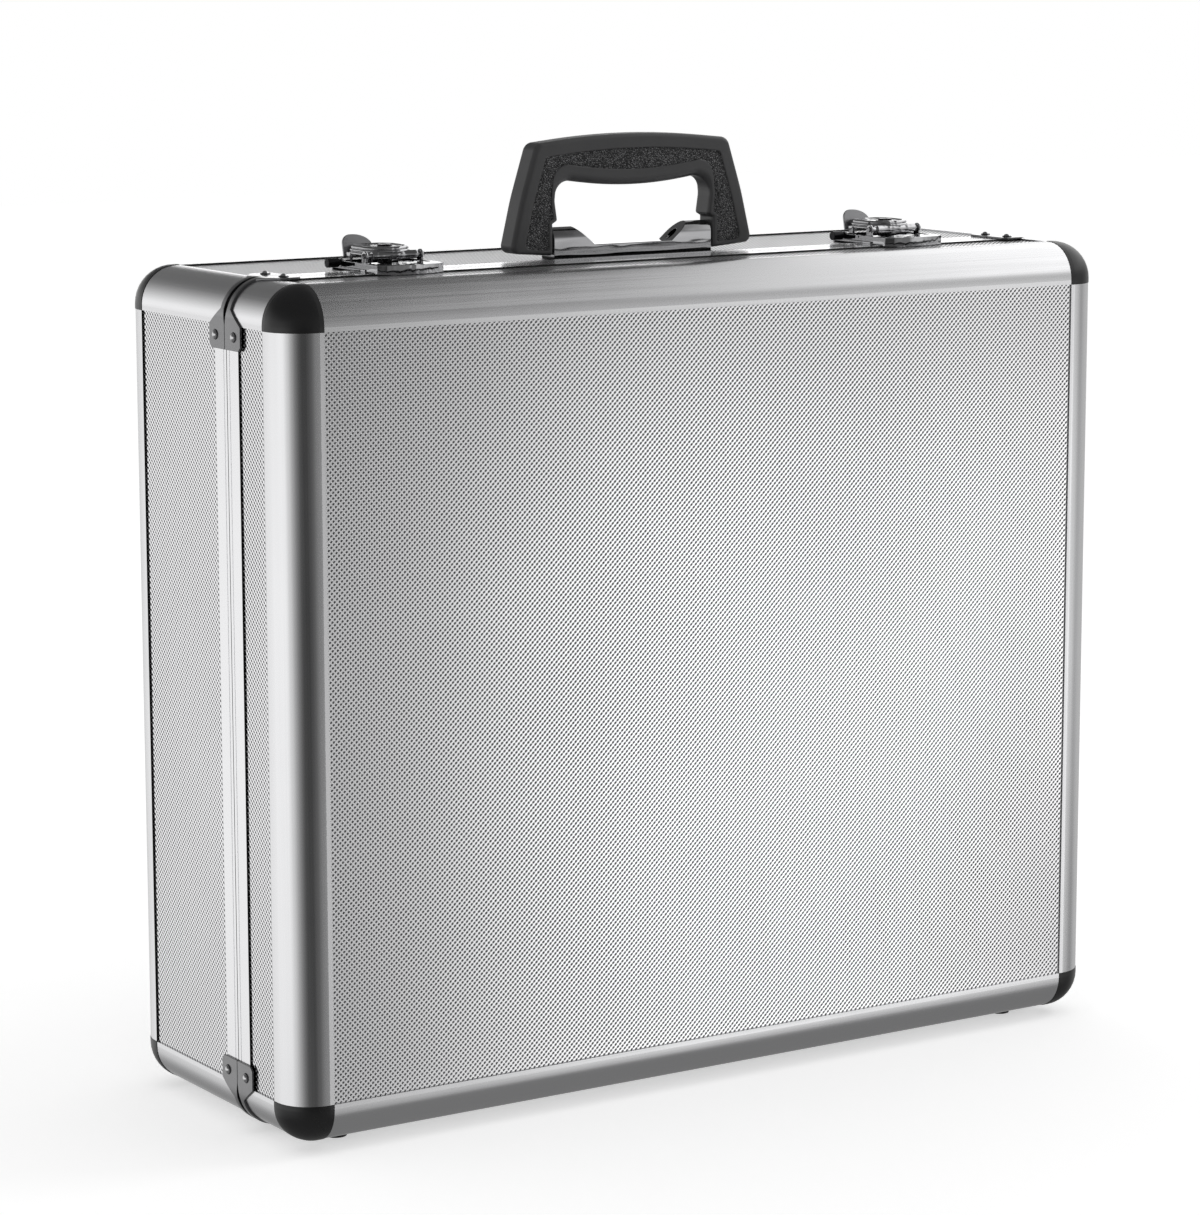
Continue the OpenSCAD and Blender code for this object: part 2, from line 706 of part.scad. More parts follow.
// A rectangle with rounded corners
module pad(w, l, r)
    translate([-w / 2, 0]) {
        translate([r, 0]) square([w - 2 * r, l]);
        translate([0, r]) square([w, l - 2 * r]);
        for (x = [r, w - r], y = [r, l - r]) translate([x, y]) circle(r);
    }

lever_front = lever_y - roll_r;
lug_x = ear_x - latch_t - 1.2;              // middle to the outside of the lever's rod lugs
lug_r = rod_z - latch_t - 0.4;
cover_t = 1.6;
tab_x = 8.8;                                // half width of the finger tab
tab_mid = -4.7;                             // middle of the lever to the middle of the tab
tab_lean = 12;
tab_l = 10.5;

// Cover with stepped rims, hollow below, rolled at the front round its pin, with a lock boss,
// two lugs for the hook's rod and a finger tab that stands up at the back
module latch_lever()
    color([0.78, 0.78, 0.8]) difference() {
        union() {
            difference() {
                union() {
                    translate([0, lever_y, lever_z - 2.6])
                        linear_extrude(2.4) pad(lever_w - 2, lever_l - lever_y - 1, 11);
                    translate([0, lever_front, lever_z - 0.2]) linear_extrude(2.2) pad(lever_w, lever_l, 12);
                    translate([0, lever_front + 1.2, lever_z + 2])
                        linear_extrude(lever_h - lever_z - 2) pad(lever_w - 2.4, lever_l - 2.4, 10.8);
                }
                translate([0, lever_y + roll_r, 0])
                    linear_extrude(lever_h - cover_t) pad(lever_w - 4.4, lever_l - lever_y - roll_r - 2.6, 9.6);
                translate([-lever_w, lever_y - roll_r - over, 0])
                    cube([2 * lever_w, 2 * roll_r + over, lever_z]);
            }
            translate([-lever_w / 2, lever_y, lever_z]) rotate([0, 90, 0]) cylinder(h = lever_w, r = roll_r);
            translate([0, lock_y, lever_z - 2.6]) cylinder(h = lever_h - lever_z + 2.6 - eps, r = boss_r);
            both_sides() translate([-lug_x, rod_y, rod_z]) {
                rotate([0, 90, 0]) cylinder(h = 1.4, r = lug_r);
                translate([0, -lug_r, 0]) cube([1.4, 2 * lug_r, lever_z - rod_z]);
            }
            finger_tab();
        }
        translate([0, lock_y, -over]) cylinder(h = lever_h + 2 * over, r = lock_r + run_fit);
        cross_bore(lever_y, lever_z, pin_r + run_fit);
        cross_bore(rod_y, rod_z, rod_r + press_fit);
    }

// The tab's leaf, folded up out of the left of the cover's rear edge and leaning back
module finger_tab()
    translate([tab_mid, lever_front + lever_l - 2, lever_z - 1.6]) rotate([-tab_lean, 0, 0])
        translate([0, latch_t, 0]) rotate([90, 0, 0]) linear_extrude(latch_t) hull() {
            translate([-tab_x, 0]) square([2 * tab_x, 4.4]);
            translate([-tab_x + 3, tab_l - 3]) circle(3);
            translate([tab_x - 7.6, tab_l - 6.2]) circle(6);
        }

// The rod that the hook's arms turn on, with a turned head on its left end
module latch_rod()
    color([0.2, 0.2, 0.21]) translate([0, rod_y, rod_z]) rotate([0, 90, 0]) {
        translate([0, 0, -arm_x - latch_t - 0.2]) cylinder(h = 2 * arm_x + 2 * latch_t + 0.6, r = rod_r);
        translate([0, 0, -arm_x - latch_t - 1.2]) cylinder(h = 1, r = rod_r + 0.4);
        translate([0, 0, -arm_x - latch_t - 7.4]) cylinder(h = 6.2, r = 2.35);
    }

hook_clear = 0.5;                           // underside of the hook's edges above the case's boards
plate_chamfer = 4;

// Hook plate: a shallow folded plate over the catch, with an arm back to the rod on each side
module latch_hook()
    color([0.75, 0.75, 0.77]) difference() {
        union() {
            difference() {
                translate([0, 0, -lip_t + hook_clear]) linear_extrude(hook_h + lip_t - hook_clear) hook_plan(0);
                translate([0, 0, -lip_t - over]) linear_extrude(hook_h + lip_t + over - latch_t) hook_plan(latch_t);
            }
            both_sides() translate([-arm_x - latch_t, 0, 0]) {
                translate([0, -4 - eps, rod_z - 2]) cube([latch_t, rod_y + 4, hook_h - rod_z + 2]);
                translate([0, rod_y, rod_z]) rotate([0, 90, 0]) cylinder(h = latch_t, r = 2.3);
            }
        }
        translate([-hook_w, -frame_w - move_gap, move_gap - hook_w]) cube([2 * hook_w, hook_w, hook_w]);
        cross_bore(rod_y, rod_z, rod_r + run_fit);
        translate([hook_w / 2 - 5.5, -8, 0]) cylinder(h = 2 * hook_h, r = 1.7);
    }

// Plan of the hook plate with its front corners cut off, shrunk by t on the front and sides
module hook_plan(t) {
    x = hook_w / 2 - t;
    y = -hook_reach + t;
    c = plate_chamfer - t / 2;
    polygon([
        [-x, -4 + (t > 0 ? over : 0)], [-x, y + c], [-x + c, y],
        [x - c, y], [x, y + c], [x, -4 + (t > 0 ? over : 0)]
    ]);
}

catch_play = 0.7;                           // hook's lip to the catch when closed

// Catches on the lid: a plate on the frame with a lip that stands up inside the hook
module lid_catches() {
    front = hook_reach - latch_t - catch_play;
    color([0.7, 0.7, 0.72]) for (side = [-1, 1]) in_latch(side) {
        translate([-12, -frame_w, 0]) cube([24, frame_w - 1.5, latch_t]);
        translate([-12, -front, -lip_t]) cube([24, front - frame_w, lip_t + latch_t]);
        translate([-12, -front, 0]) cube([24, latch_t, hook_h - latch_t - move_gap]);
    }
}

// Lock cylinder with a keyway in its face and a cam below
module latch_lock()
    color([0.1, 0.1, 0.1]) translate([0, lock_y, 0]) {
        difference() {
            translate([0, 0, cam_z]) cylinder(h = lever_h + 0.7 - cam_z, r = lock_r);
            translate([-0.5, -2.6, lever_h - 4]) cube([1, 5.2, 6]);
        }
        translate([0, -1.6, cam_z]) cube([cam_r, 3.2, cam_t]);
    }

// ---- Lid stays ------------------------------------------------------------------------------------------

// The two pivots, the hinge line and the knee are the corners of a rhombus, so the base's arm stays
// parallel to the lid and the lid's arm to the base, and both turn as far as the lid does.
stay_bar_gap = 0.6;
stud_plate_t = 1.5;
stud_r = stud_d / 2;
head_t = 0.9;                               // heads of the studs and of the knee rivet
head_r = stud_r + 1.3;
stop_r = 1.5;                               // stop peg beside each stud
stop_gap = 0.3;
stop_along = 7;
wall_x = case_w / 2 - lining_in;            // middle to the lining's inside
base_arm_x = wall_x - stud_plate_t - stay_bar_gap;
lid_arm_x = base_arm_x - stay_t - stay_bar_gap;
stay_l = norm([stay_y, stay_h]);            // between the holes of each arm
fold = atan(stay_y / stay_h);               // lean of the arms from upright when closed
stay_z = stay_h + hinge_z - foot_h;
stop_across = stay_w / 2 + stop_r + stop_gap;

// A flat bar from the origin up to its far hole, lying from x = 0 towards the middle
module stay_bar()
    difference() {
        rotate([90, 0, 90]) linear_extrude(stay_t) {
            translate([-stay_w / 2, 0]) square([stay_w, stay_l]);
            circle(stay_w / 2);
            translate([0, stay_l]) circle(stay_w / 2);
        }
        for (z = [0, stay_l]) translate([-over, 0, z]) rotate([0, 90, 0])
            cylinder(h = stay_t + 2 * over, r = stud_r + run_fit);
    }

// A plate on the shell's wall with the stud that an arm turns on, the stud's head and the peg
// that stops the arm when the lid is open
module stay_stud(arm_x) {
    arm_in = wall_x - arm_x + stay_t;       // wall to the arm's inner face
    translate([-wall_x, stay_y, stay_z]) {
        rotate([0, 90, 0]) {
            cylinder(h = stud_plate_t, r = stop_across + stop_along - 2);
            cylinder(h = arm_in + stay_bar_gap / 4 + head_t, r = stud_r);
            translate([0, 0, arm_in + stay_bar_gap / 4]) cylinder(h = head_t, r = head_r);
            cylinder(h = arm_in - stay_t - stay_bar_gap / 4, r = head_r);
        }
        rotate([fold + lid_open, 0, 0]) translate([0, -stop_across, stop_along])
            rotate([0, 90, 0]) cylinder(h = arm_in, r = stop_r);
    }
}

module base_stay_studs()
    color([0.7, 0.7, 0.72]) both_sides() stay_stud(base_arm_x);

module lid_stay_studs()
    color([0.7, 0.7, 0.72]) both_sides() stay_stud(lid_arm_x);

// Both arms are drawn on the left, each in its own shell's place
module stay_base_arm()
    color([0.72, 0.72, 0.74]) in_base() translate([-base_arm_x, stay_y, stay_z])
        rotate([fold, 0, 0]) stay_bar();

// The lid's arm carries the knee rivet, which the base's arm turns on
module stay_lid_arm()
    color([0.72, 0.72, 0.74]) in_lid() translate([-lid_arm_x, stay_y, stay_z]) rotate([fold, 0, 0]) {
        stay_bar();
        translate([stay_t, 0, stay_l]) rotate([0, -90, 0]) {
            reach = 2 * stay_t + stay_bar_gap;
            translate([0, 0, -head_t]) cylinder(h = head_t, r = head_r);
            cylinder(h = stay_t + stay_bar_gap * 3 / 4, r = head_r);
            cylinder(h = reach + stay_bar_gap / 4 + head_t, r = stud_r);
            translate([0, 0, reach + stay_bar_gap / 4]) cylinder(h = head_t, r = head_r);
        }
    }

// ---- Nodes -----------------------------------------------------------------------------------------------

in_lid() face_panel(lid_d);  // lid_front_panel
in_lid() top_panel(lid_d, lid_stop);  // lid_top_panel
in_lid() bottom_panel(lid_d, lid_stop);  // lid_bottom_panel
in_lid() left_panel(lid_d, lid_stop);  // lid_left_panel
in_lid() right_panel(lid_d, lid_stop);  // lid_right_panel
in_lid() rim_top(lid_d);  // lid_rim_top
in_lid() rim_bottom(lid_d);  // lid_rim_bottom
in_lid() rim_left(lid_d);  // lid_rim_left
in_lid() rim_right(lid_d);  // lid_rim_right
in_lid() corner_rails(lid_d);  // lid_corner_rails
in_lid() corner_caps(lid_d);  // lid_corner_caps
in_lid() lid_frame_top();
in_lid() lid_frame_bottom();
in_lid() lid_frame_sides();
in_lid() corner_straps();  // lid_corner_straps
in_lid() rivets();  // lid_rivets
in_lid() lining(lid_d);  // lid_lining
in_lid() feet(lid_d);  // lid_feet
in_lid() lid_hinge_leaves();
lid_catches();
in_lid() lid_stay_studs();
in_base() face_panel(base_d);  // base_rear_panel
in_base() top_panel(base_d, base_stop);  // base_top_panel
in_base() bottom_panel(base_d, base_stop);  // base_bottom_panel
in_base() left_panel(base_d, base_stop);  // base_left_panel
in_base() right_panel(base_d, base_stop);  // base_right_panel
in_base() rim_top(base_d);  // base_rim_top
in_base() rim_bottom(base_d);  // base_rim_bottom
in_base() rim_left(base_d);  // base_rim_left
in_base() rim_right(base_d);  // base_rim_right
in_base() corner_rails(base_d);  // base_corner_rails
in_base() corner_caps(base_d);  // base_corner_caps
in_base() base_frame_top();
in_base() base_frame_bottom();
in_base() base_frame_sides();
in_base() corner_straps();  // base_corner_straps
in_base() rivets();  // base_rivets
in_base() lining(base_d);  // base_lining
in_base() feet(base_d);  // base_feet
in_base() base_hinge_leaves();
in_base() hinge_pins();
in_base() base_stay_studs();
handle_bracket();
handle_pins();
handle_grip();
in_latch(-1) latch_plate();  // latch_left_plate
in_latch(1) latch_plate();  // latch_right_plate
latch_pins();
in_latch(-1) latch_lever();  // latch_left_lever
in_latch(-1) latch_rod();  // latch_left_rod
in_latch(-1) latch_hook();  // latch_left_hook
in_latch(-1) latch_lock();  // latch_left_lock
in_latch(1) latch_lever();  // latch_right_lever
in_latch(1) latch_rod();  // latch_right_rod
in_latch(1) latch_hook();  // latch_right_hook
in_latch(1) latch_lock();  // latch_right_lock
stay_base_arm();  // stay_left_base_arm
stay_lid_arm();  // stay_left_lid_arm
mirror([1, 0, 0]) stay_base_arm();  // stay_right_base_arm
mirror([1, 0, 0]) stay_lid_arm();  // stay_right_lid_arm
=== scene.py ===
import json
import math

import bmesh
import bpy
from mathutils import Matrix, Vector


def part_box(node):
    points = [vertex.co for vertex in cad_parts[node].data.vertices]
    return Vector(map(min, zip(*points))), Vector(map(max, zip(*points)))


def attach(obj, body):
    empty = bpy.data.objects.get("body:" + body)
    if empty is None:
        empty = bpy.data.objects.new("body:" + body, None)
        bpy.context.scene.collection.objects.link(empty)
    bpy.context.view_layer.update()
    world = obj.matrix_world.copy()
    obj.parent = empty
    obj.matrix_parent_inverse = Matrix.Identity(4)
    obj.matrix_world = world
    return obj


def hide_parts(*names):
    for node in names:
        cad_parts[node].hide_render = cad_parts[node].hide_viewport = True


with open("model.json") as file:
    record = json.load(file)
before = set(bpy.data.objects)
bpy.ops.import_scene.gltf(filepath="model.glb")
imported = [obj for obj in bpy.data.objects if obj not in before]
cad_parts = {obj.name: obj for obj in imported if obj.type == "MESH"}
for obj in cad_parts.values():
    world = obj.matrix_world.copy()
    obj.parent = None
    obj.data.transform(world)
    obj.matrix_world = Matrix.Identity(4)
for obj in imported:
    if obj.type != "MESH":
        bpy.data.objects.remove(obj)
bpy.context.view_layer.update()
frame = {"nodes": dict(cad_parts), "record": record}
MM = 0.001

# Camera: a long lens at the left of the lid, a little above the handle's height, so that the
# lid's face, the left side and the top all show.
camera_place = Vector((-1130.3, -1723.2, 587.3)) * MM
looking = Vector((0.53492, 0.82794, -0.16845))
up = Vector((0.09286, 0.14056, 0.98571))
right = looking.cross(up).normalized()
lens = bpy.data.cameras.new("studio_camera")
lens.lens = 119.34
lens.sensor_width = 36
lens.clip_end = 50
camera = bpy.data.objects.new("studio_camera", lens)
camera.matrix_world = Matrix.Translation(camera_place) @ Matrix(
    (right, right.cross(looking), -looking)).transposed().to_4x4()
bpy.context.collection.objects.link(camera)
bpy.context.scene.camera = camera
bpy.context.scene.view_settings.view_transform = "Standard"


# Studio: a white room for the lens. Matt surfaces see it as an even pale grey; to metal it is
# darker behind the camera and overhead, with a soft box above the right-hand end of the case
# and white sheets standing at the left and in front, as a metal object is lit on a table.
def node(tree, kind, **settings):
    """A new node of a tree, with its settings."""
    made = tree.nodes.new(kind)
    for key, value in settings.items():
        setattr(made, key, value)
    return made


def plug(tree, socket, value):
    """Link another socket to a socket, or set its plain value."""
    if isinstance(value, bpy.types.NodeSocket):
        tree.links.new(value, socket)
    else:
        socket.default_value = value


def maths(tree, operation, *values):
    made = node(tree, "ShaderNodeMath", operation=operation)
    for at, value in enumerate(values):
        plug(tree, made.inputs[at], value)
    return made.outputs[0]


def ramp(tree, value, low, high, start=0.0, end=1.0, kind="SMOOTHSTEP"):
    """Go from start to end as a value goes from low to high."""
    made = node(tree, "ShaderNodeMapRange", interpolation_type=kind)
    for at, number in enumerate((value, low, high, start, end)):
        plug(tree, made.inputs[at], number)
    return made.outputs[0]


def vmath(tree, operation, *values):
    made = node(tree, "ShaderNodeVectorMath", operation=operation)
    for at, value in enumerate(values):
        plug(tree, made.inputs[at], value)
    return made.outputs[0]


def blend_values(tree, share, low, high):
    """Go from one number to another with a share."""
    made = node(tree, "ShaderNodeMix")
    for at, value in zip((0, 2, 3), (share, low, high)):
        plug(tree, made.inputs[at], value)
    return made.outputs[0]


world = bpy.data.worlds.new("white_room")
bpy.context.scene.world = world
world.use_nodes = True
tree = world.node_tree
tree.nodes.clear()
out = node(tree, "ShaderNodeOutputWorld")
direction = node(tree, "ShaderNodeTexCoord").outputs["Generated"]
split = node(tree, "ShaderNodeSeparateXYZ")
tree.links.new(direction, split.inputs[0])
to_x, to_y, to_z = split.outputs
turn = maths(tree, "ARCTAN2", to_y, to_x)
share = maths(tree, "FRACT", maths(tree, "ADD", maths(tree, "DIVIDE", turn, math.tau), 1.0))
ring = node(tree, "ShaderNodeValToRGB")
ring.color_ramp.interpolation = "EASE"
# How bright metal sees the room, round the horizon by degrees from +X and then its other parts,
# and last how bright matt surfaces see all of it
ROOM = ((0, 0.54), (45, 0.52), (62, 0.70), (88, 0.80), (118, 0.98), (150, 1.12), (186, 1.12),
        (202, 0.78), (214, 0.42), (226, 0.17), (238, 0.05), (256, 0.04), (270, 0.10),
        (284, 0.22), (293, 0.28), (299, 0.42), (304, 1.50), (309, 1.60), (314, 1.35),
        (322, 0.90), (340, 0.58))
SHEET_BEHIND, BOX_ON_RIGHT, UNDERFOOT = 1.5, 1.45, 0.20
CEILING_LOW, CEILING_HIGH = 0.17, 0.10
MATT_ROOM = 0.55
stops = ring.color_ramp.elements
while len(stops) < len(ROOM):
    stops.new(0.5)
for stop, (angle, level) in zip(stops, ROOM):
    stop.position = angle / 360
    stop.color = (level, level, level, 1)
tree.links.new(share, ring.inputs[0])
# In front, at the right, the wall dims above the table's edge, and its corner dims below it
high = ramp(tree, to_z, -0.17, -0.08, 1, 0.50)
in_front = maths(tree, "MULTIPLY", ramp(tree, to_x, 0.30, 0.52), ramp(tree, to_y, 0.2, -0.4))
corner = maths(tree, "MULTIPLY", ramp(tree, to_x, 0.575, 0.64), ramp(tree, to_z, -0.16, -0.25))
fall = blend_values(tree, in_front, 1.0, maths(
    tree, "MULTIPLY", high, maths(tree, "SUBTRACT", 1.0, maths(tree, "MULTIPLY", corner, 0.6))))
level = maths(tree, "MULTIPLY", ring.outputs[0], fall)
# Behind the case a white sheet hangs down to the table
sweep = maths(tree, "MULTIPLY", ramp(tree, to_y, 0.45, 0.7), ramp(tree, to_z, -0.06, 0.02))
level = blend_values(tree, sweep, level, SHEET_BEHIND)
# The dark ceiling comes down lower in front than behind
behind = blend_values(tree, ramp(tree, to_x, 0.0, 0.35),
                      ramp(tree, to_z, -0.15, 0.45, kind="LINEAR"), ramp(tree, to_z, 0.16, 0.23))
rise = blend_values(tree, ramp(tree, to_y, -0.1, 0.3), ramp(tree, to_z, -0.05, 0.30), behind)
over = blend_values(tree, rise, level,
                    ramp(tree, to_z, 0.15, 0.6, CEILING_LOW, CEILING_HIGH))
box_edge = maths(tree, "MULTIPLY", ramp(tree, to_x, 0.53, 0.625), ramp(tree, to_z, 0.05, 0.40))
over = blend_values(tree, box_edge, over, BOX_ON_RIGHT)
under = blend_values(tree, ramp(tree, to_z, -0.62, -0.20), UNDERFOOT, over)
paths = node(tree, "ShaderNodeLightPath").outputs
room = node(tree, "ShaderNodeBackground")
room.inputs["Strength"].default_value = MATT_ROOM
mirror_room = node(tree, "ShaderNodeBackground")
tree.links.new(under, mirror_room.inputs["Strength"])
white = node(tree, "ShaderNodeBackground")
for background in (room, mirror_room, white):
    background.inputs["Color"].default_value = (1, 1, 1, 1)
to_metal = node(tree, "ShaderNodeMixShader")
to_lens = node(tree, "ShaderNodeMixShader")
tree.links.new(paths["Is Glossy Ray"], to_metal.inputs[0])
tree.links.new(room.outputs[0], to_metal.inputs[1])
tree.links.new(mirror_room.outputs[0], to_metal.inputs[2])
tree.links.new(maths(tree, "MAXIMUM", paths["Is Camera Ray"], paths["Is Transmission Ray"]),
               to_lens.inputs[0])
tree.links.new(to_metal.outputs[0], to_lens.inputs[1])
tree.links.new(white.outputs[0], to_lens.inputs[2])
tree.links.new(to_lens.outputs[0], out.inputs[0])


# Lamp: one large soft box high on the right and a little in front, which throws the soft shadow
# on the floor. Metal doesn't see it: the room above already holds a white box in its place.
light = bpy.data.lights.new("soft_box", "AREA")
light.shape = "RECTANGLE"
light.size, light.size_y, light.energy = 0.7, 0.8, 5.0
lamp = bpy.data.objects.new("soft_box", light)
lamp.location = (1.6, -0.5, 1.62)
lamp.rotation_euler = (Vector((0, 0, 0.3)) - lamp.location).to_track_quat("-Z", "Y").to_euler()
lamp.visible_glossy = False
bpy.context.collection.objects.link(lamp)


# Floor: a sheet of white paper, laid flat, with enough glow of its own to look white to the lens
# and keep only the case's soft shadow. Metal sees the room in its place.
FLOOR_HALF = 6
floor_mesh = bpy.data.meshes.new("floor")
floor_mesh.from_pydata([(x * FLOOR_HALF, y * FLOOR_HALF, 0)
                        for x, y in ((-1, -1), (1, -1), (1, 1), (-1, 1))], [], [(0, 1, 2, 3)])
floor = bpy.data.objects.new("floor", floor_mesh)
bpy.context.collection.objects.link(floor)
floor.visible_glossy = False
paper = bpy.data.materials.new("white_paper")
paper.use_nodes = True
tree = paper.node_tree
tree.nodes.clear()
out = node(tree, "ShaderNodeOutputMaterial")
lit = node(tree, "ShaderNodeBsdfDiffuse")
lit.inputs["Color"].default_value = (0.93, 0.93, 0.93, 1)
shine = node(tree, "ShaderNodeEmission")
shine.inputs["Strength"].default_value = 0.5
both = node(tree, "ShaderNodeAddShader")
tree.links.new(lit.outputs[0], both.inputs[0])
tree.links.new(shine.outputs[0], both.inputs[1])
paths = node(tree, "ShaderNodeLightPath").outputs
seen = maths(tree, "MAXIMUM", paths["Is Camera Ray"], paths["Is Transmission Ray"])
choose = node(tree, "ShaderNodeMixShader")
tree.links.new(seen, choose.inputs[0])
tree.links.new(lit.outputs[0], choose.inputs[1])
tree.links.new(both.outputs[0], choose.inputs[2])
tree.links.new(choose.outputs[0], out.inputs[0])
floor_mesh.materials.append(paper)


# Boards: laminated boards faced with thin aluminium foil, which is rolled with small round
# dimples in staggered rows before it is glued on. They slide into the slots of the edges.
def new_material(name, colour, metallic, roughness):
    made = bpy.data.materials.new(name)
    made.use_nodes = True
    shader = made.node_tree.nodes["Principled BSDF"]
    shader.inputs["Base Color"].default_value = (*colour, 1)
    shader.inputs["Metallic"].default_value = metallic
    shader.inputs["Roughness"].default_value = roughness
    return made, made.node_tree, shader


def object_xyz(tree):
    """Place on the case, whole and as its three parts."""
    coordinates = node(tree, "ShaderNodeTexCoord").outputs["Object"]
    parts = node(tree, "ShaderNodeSeparateXYZ")
    tree.links.new(coordinates, parts.inputs[0])
    return coordinates, parts.outputs


def noise(tree, coordinates, scale, detail=3.0, stretch=(1, 1, 1), roughness=0.5):
    """Cloudy noise, with a scale along each axis where it is stretched."""
    made = node(tree, "ShaderNodeTexNoise")
    made.inputs["Scale"].default_value = scale
    made.inputs["Detail"].default_value = detail
    made.inputs["Roughness"].default_value = roughness
    tree.links.new(vmath(tree, "MULTIPLY", coordinates, stretch), made.inputs["Vector"])
    return made.outputs["Fac"]


def tint(tree, shader, share, dark, light):
    """Base colour from one tone to another with a share."""
    made = node(tree, "ShaderNodeMix", data_type="RGBA")
    plug(tree, made.inputs[0], share)
    made.inputs[6].default_value = (*dark, 1)
    made.inputs[7].default_value = (*light, 1)
    tree.links.new(made.outputs[2], shader.inputs["Base Color"])
    return made


def bump(tree, shader, height, depth):
    """Relief of a real depth in metres."""
    made = node(tree, "ShaderNodeBump")
    made.inputs["Distance"].default_value = depth
    tree.links.new(height, made.inputs["Height"])
    tree.links.new(made.outputs[0], shader.inputs["Normal"])


def dress(material, *names):
    """Give CAD nodes a material."""
    for name in names:
        mesh = frame["nodes"][name].data
        mesh.materials.clear()
        mesh.materials.append(material)


# Dimples: spacing, radius, slope at the rim, and the shares that make each one longer along one
# diagonal than along the other
DOT_PITCH = 1.94 * MM
DOT_RADIUS = 0.66 * MM
DOT_SLOPE = 0.58
DOT_LONG, DOT_SHORT = 0.78, 1.22
# Where its slope and the shade painted in its pit end, in shares of the radius
SLOPE_FADE, PIT_SHADE_FADE = (0.82, 1.12), (0.62, 1.08)
# Tones of the foil and of the shade painted in its pits, how much of each goes to painted pit
# shade and to cloudy wear, and the part of the light that a pit returns at a glancing angle,
# dimmed as painted shade
FOIL_TONE, PIT_SHADE_TONE = (0.94, 0.94, 0.95), (0.13, 0.13, 0.14)
PIT_SHADE_SHARE, WEAR_SHARE, PIT_SHADE_GLANCE = 0.85, 0.12, 0.25


def dimpled_foil(name, across, along, haze=0.13):
    """Foil in a plane of two axes of the case, its dimples staggered at 45 degrees to them."""
    made, tree, shader = new_material(name, (0.80, 0.80, 0.81), 1, 0.18)
    coordinates, xyz = object_xyz(tree)
    u, v = xyz["XYZ".index(across)], xyz["XYZ".index(along)]
    diagonal = DOT_PITCH * math.sqrt(2)
    local = []
    for sign in ("ADD", "SUBTRACT"):
        turned = maths(tree, "DIVIDE", maths(tree, sign, u, v), diagonal)
        local.append(maths(tree, "SUBTRACT", maths(tree, "FRACT", turned), 0.5))
    longer, shorter = (maths(tree, "POWER", maths(tree, "MULTIPLY", part, share), 2)
                       for part, share in zip(local, (DOT_LONG, DOT_SHORT)))
    reach = maths(tree, "SQRT", maths(tree, "ADD", longer, shorter))
    edge = DOT_RADIUS / DOT_PITCH
    inside = ramp(tree, reach, *(edge * share for share in SLOPE_FADE), 1, 0)
    slope = maths(tree, "MULTIPLY", inside, DOT_SLOPE / edge)
    lean_u = maths(tree, "MULTIPLY", maths(tree, "ADD", *local), slope)
    lean_v = maths(tree, "MULTIPLY", maths(tree, "SUBTRACT", *local), slope)
    lean = node(tree, "ShaderNodeCombineXYZ")
    tree.links.new(lean_u, lean.inputs["XYZ".index(across)])
    tree.links.new(lean_v, lean.inputs["XYZ".index(along)])
    turned = node(tree, "ShaderNodeVectorTransform", vector_type="VECTOR",
                  convert_from="OBJECT", convert_to="WORLD")
    tree.links.new(lean.outputs[0], turned.inputs[0])
    facing = node(tree, "ShaderNodeNewGeometry").outputs["Normal"]
    normal = vmath(tree, "NORMALIZE", vmath(tree, "ADD", facing, turned.outputs[0]))
    tree.links.new(normal, shader.inputs["Normal"])
    # Painted shade: each pit is painted dark and reflects less at a glance, as the shade and dim
    # reflection in a dimple; the cloudy wear mixed in with it is real
    pit_shade = ramp(tree, reach, *(edge * share for share in PIT_SHADE_FADE), 1, 0)
    cloud = noise(tree, coordinates, 9, 4)
    pit_shade_and_wear = maths(tree, "ADD", maths(tree, "MULTIPLY", pit_shade, PIT_SHADE_SHARE),
                 maths(tree, "MULTIPLY", cloud, WEAR_SHARE))
    tint(tree, shader, pit_shade_and_wear, FOIL_TONE, PIT_SHADE_TONE)
    pit_glance_shade = node(tree, "ShaderNodeMix", data_type="RGBA")
    tree.links.new(pit_shade, pit_glance_shade.inputs[0])
    pit_glance_shade.inputs[6].default_value = (1, 1, 1, 1)
    pit_glance_shade.inputs[7].default_value = (PIT_SHADE_GLANCE, PIT_SHADE_GLANCE, PIT_SHADE_GLANCE, 1)
    tree.links.new(pit_glance_shade.outputs[2], shader.inputs["Specular Tint"])
    tree.links.new(maths(tree, "ADD", maths(tree, "MULTIPLY", cloud, 0.04), haze - 0.02),
                   shader.inputs["Roughness"])
    return made


dress(dimpled_foil("foil_face", "X", "Z"), "lid_front_panel", "base_rear_panel")
dress(dimpled_foil("foil_flat", "X", "Y", haze=0.29), "lid_top_panel", "lid_bottom_panel",
      "base_top_panel", "base_bottom_panel")
dress(dimpled_foil("foil_side", "Y", "Z"), "lid_left_panel", "lid_right_panel",
      "base_left_panel", "base_right_panel")


# Edges: quarter-round aluminium extrusions, satin anodised. The die leaves faint lines along
# the length, and the saw a cut end that the caps and the butting frames hide.
DIE_LINE_DEPTH = 0.0015 * MM
# Near black, painted on the lip faces beside the boards as their shadow
LIP_SHADOW_TONE = (0.04, 0.04, 0.04, 1)


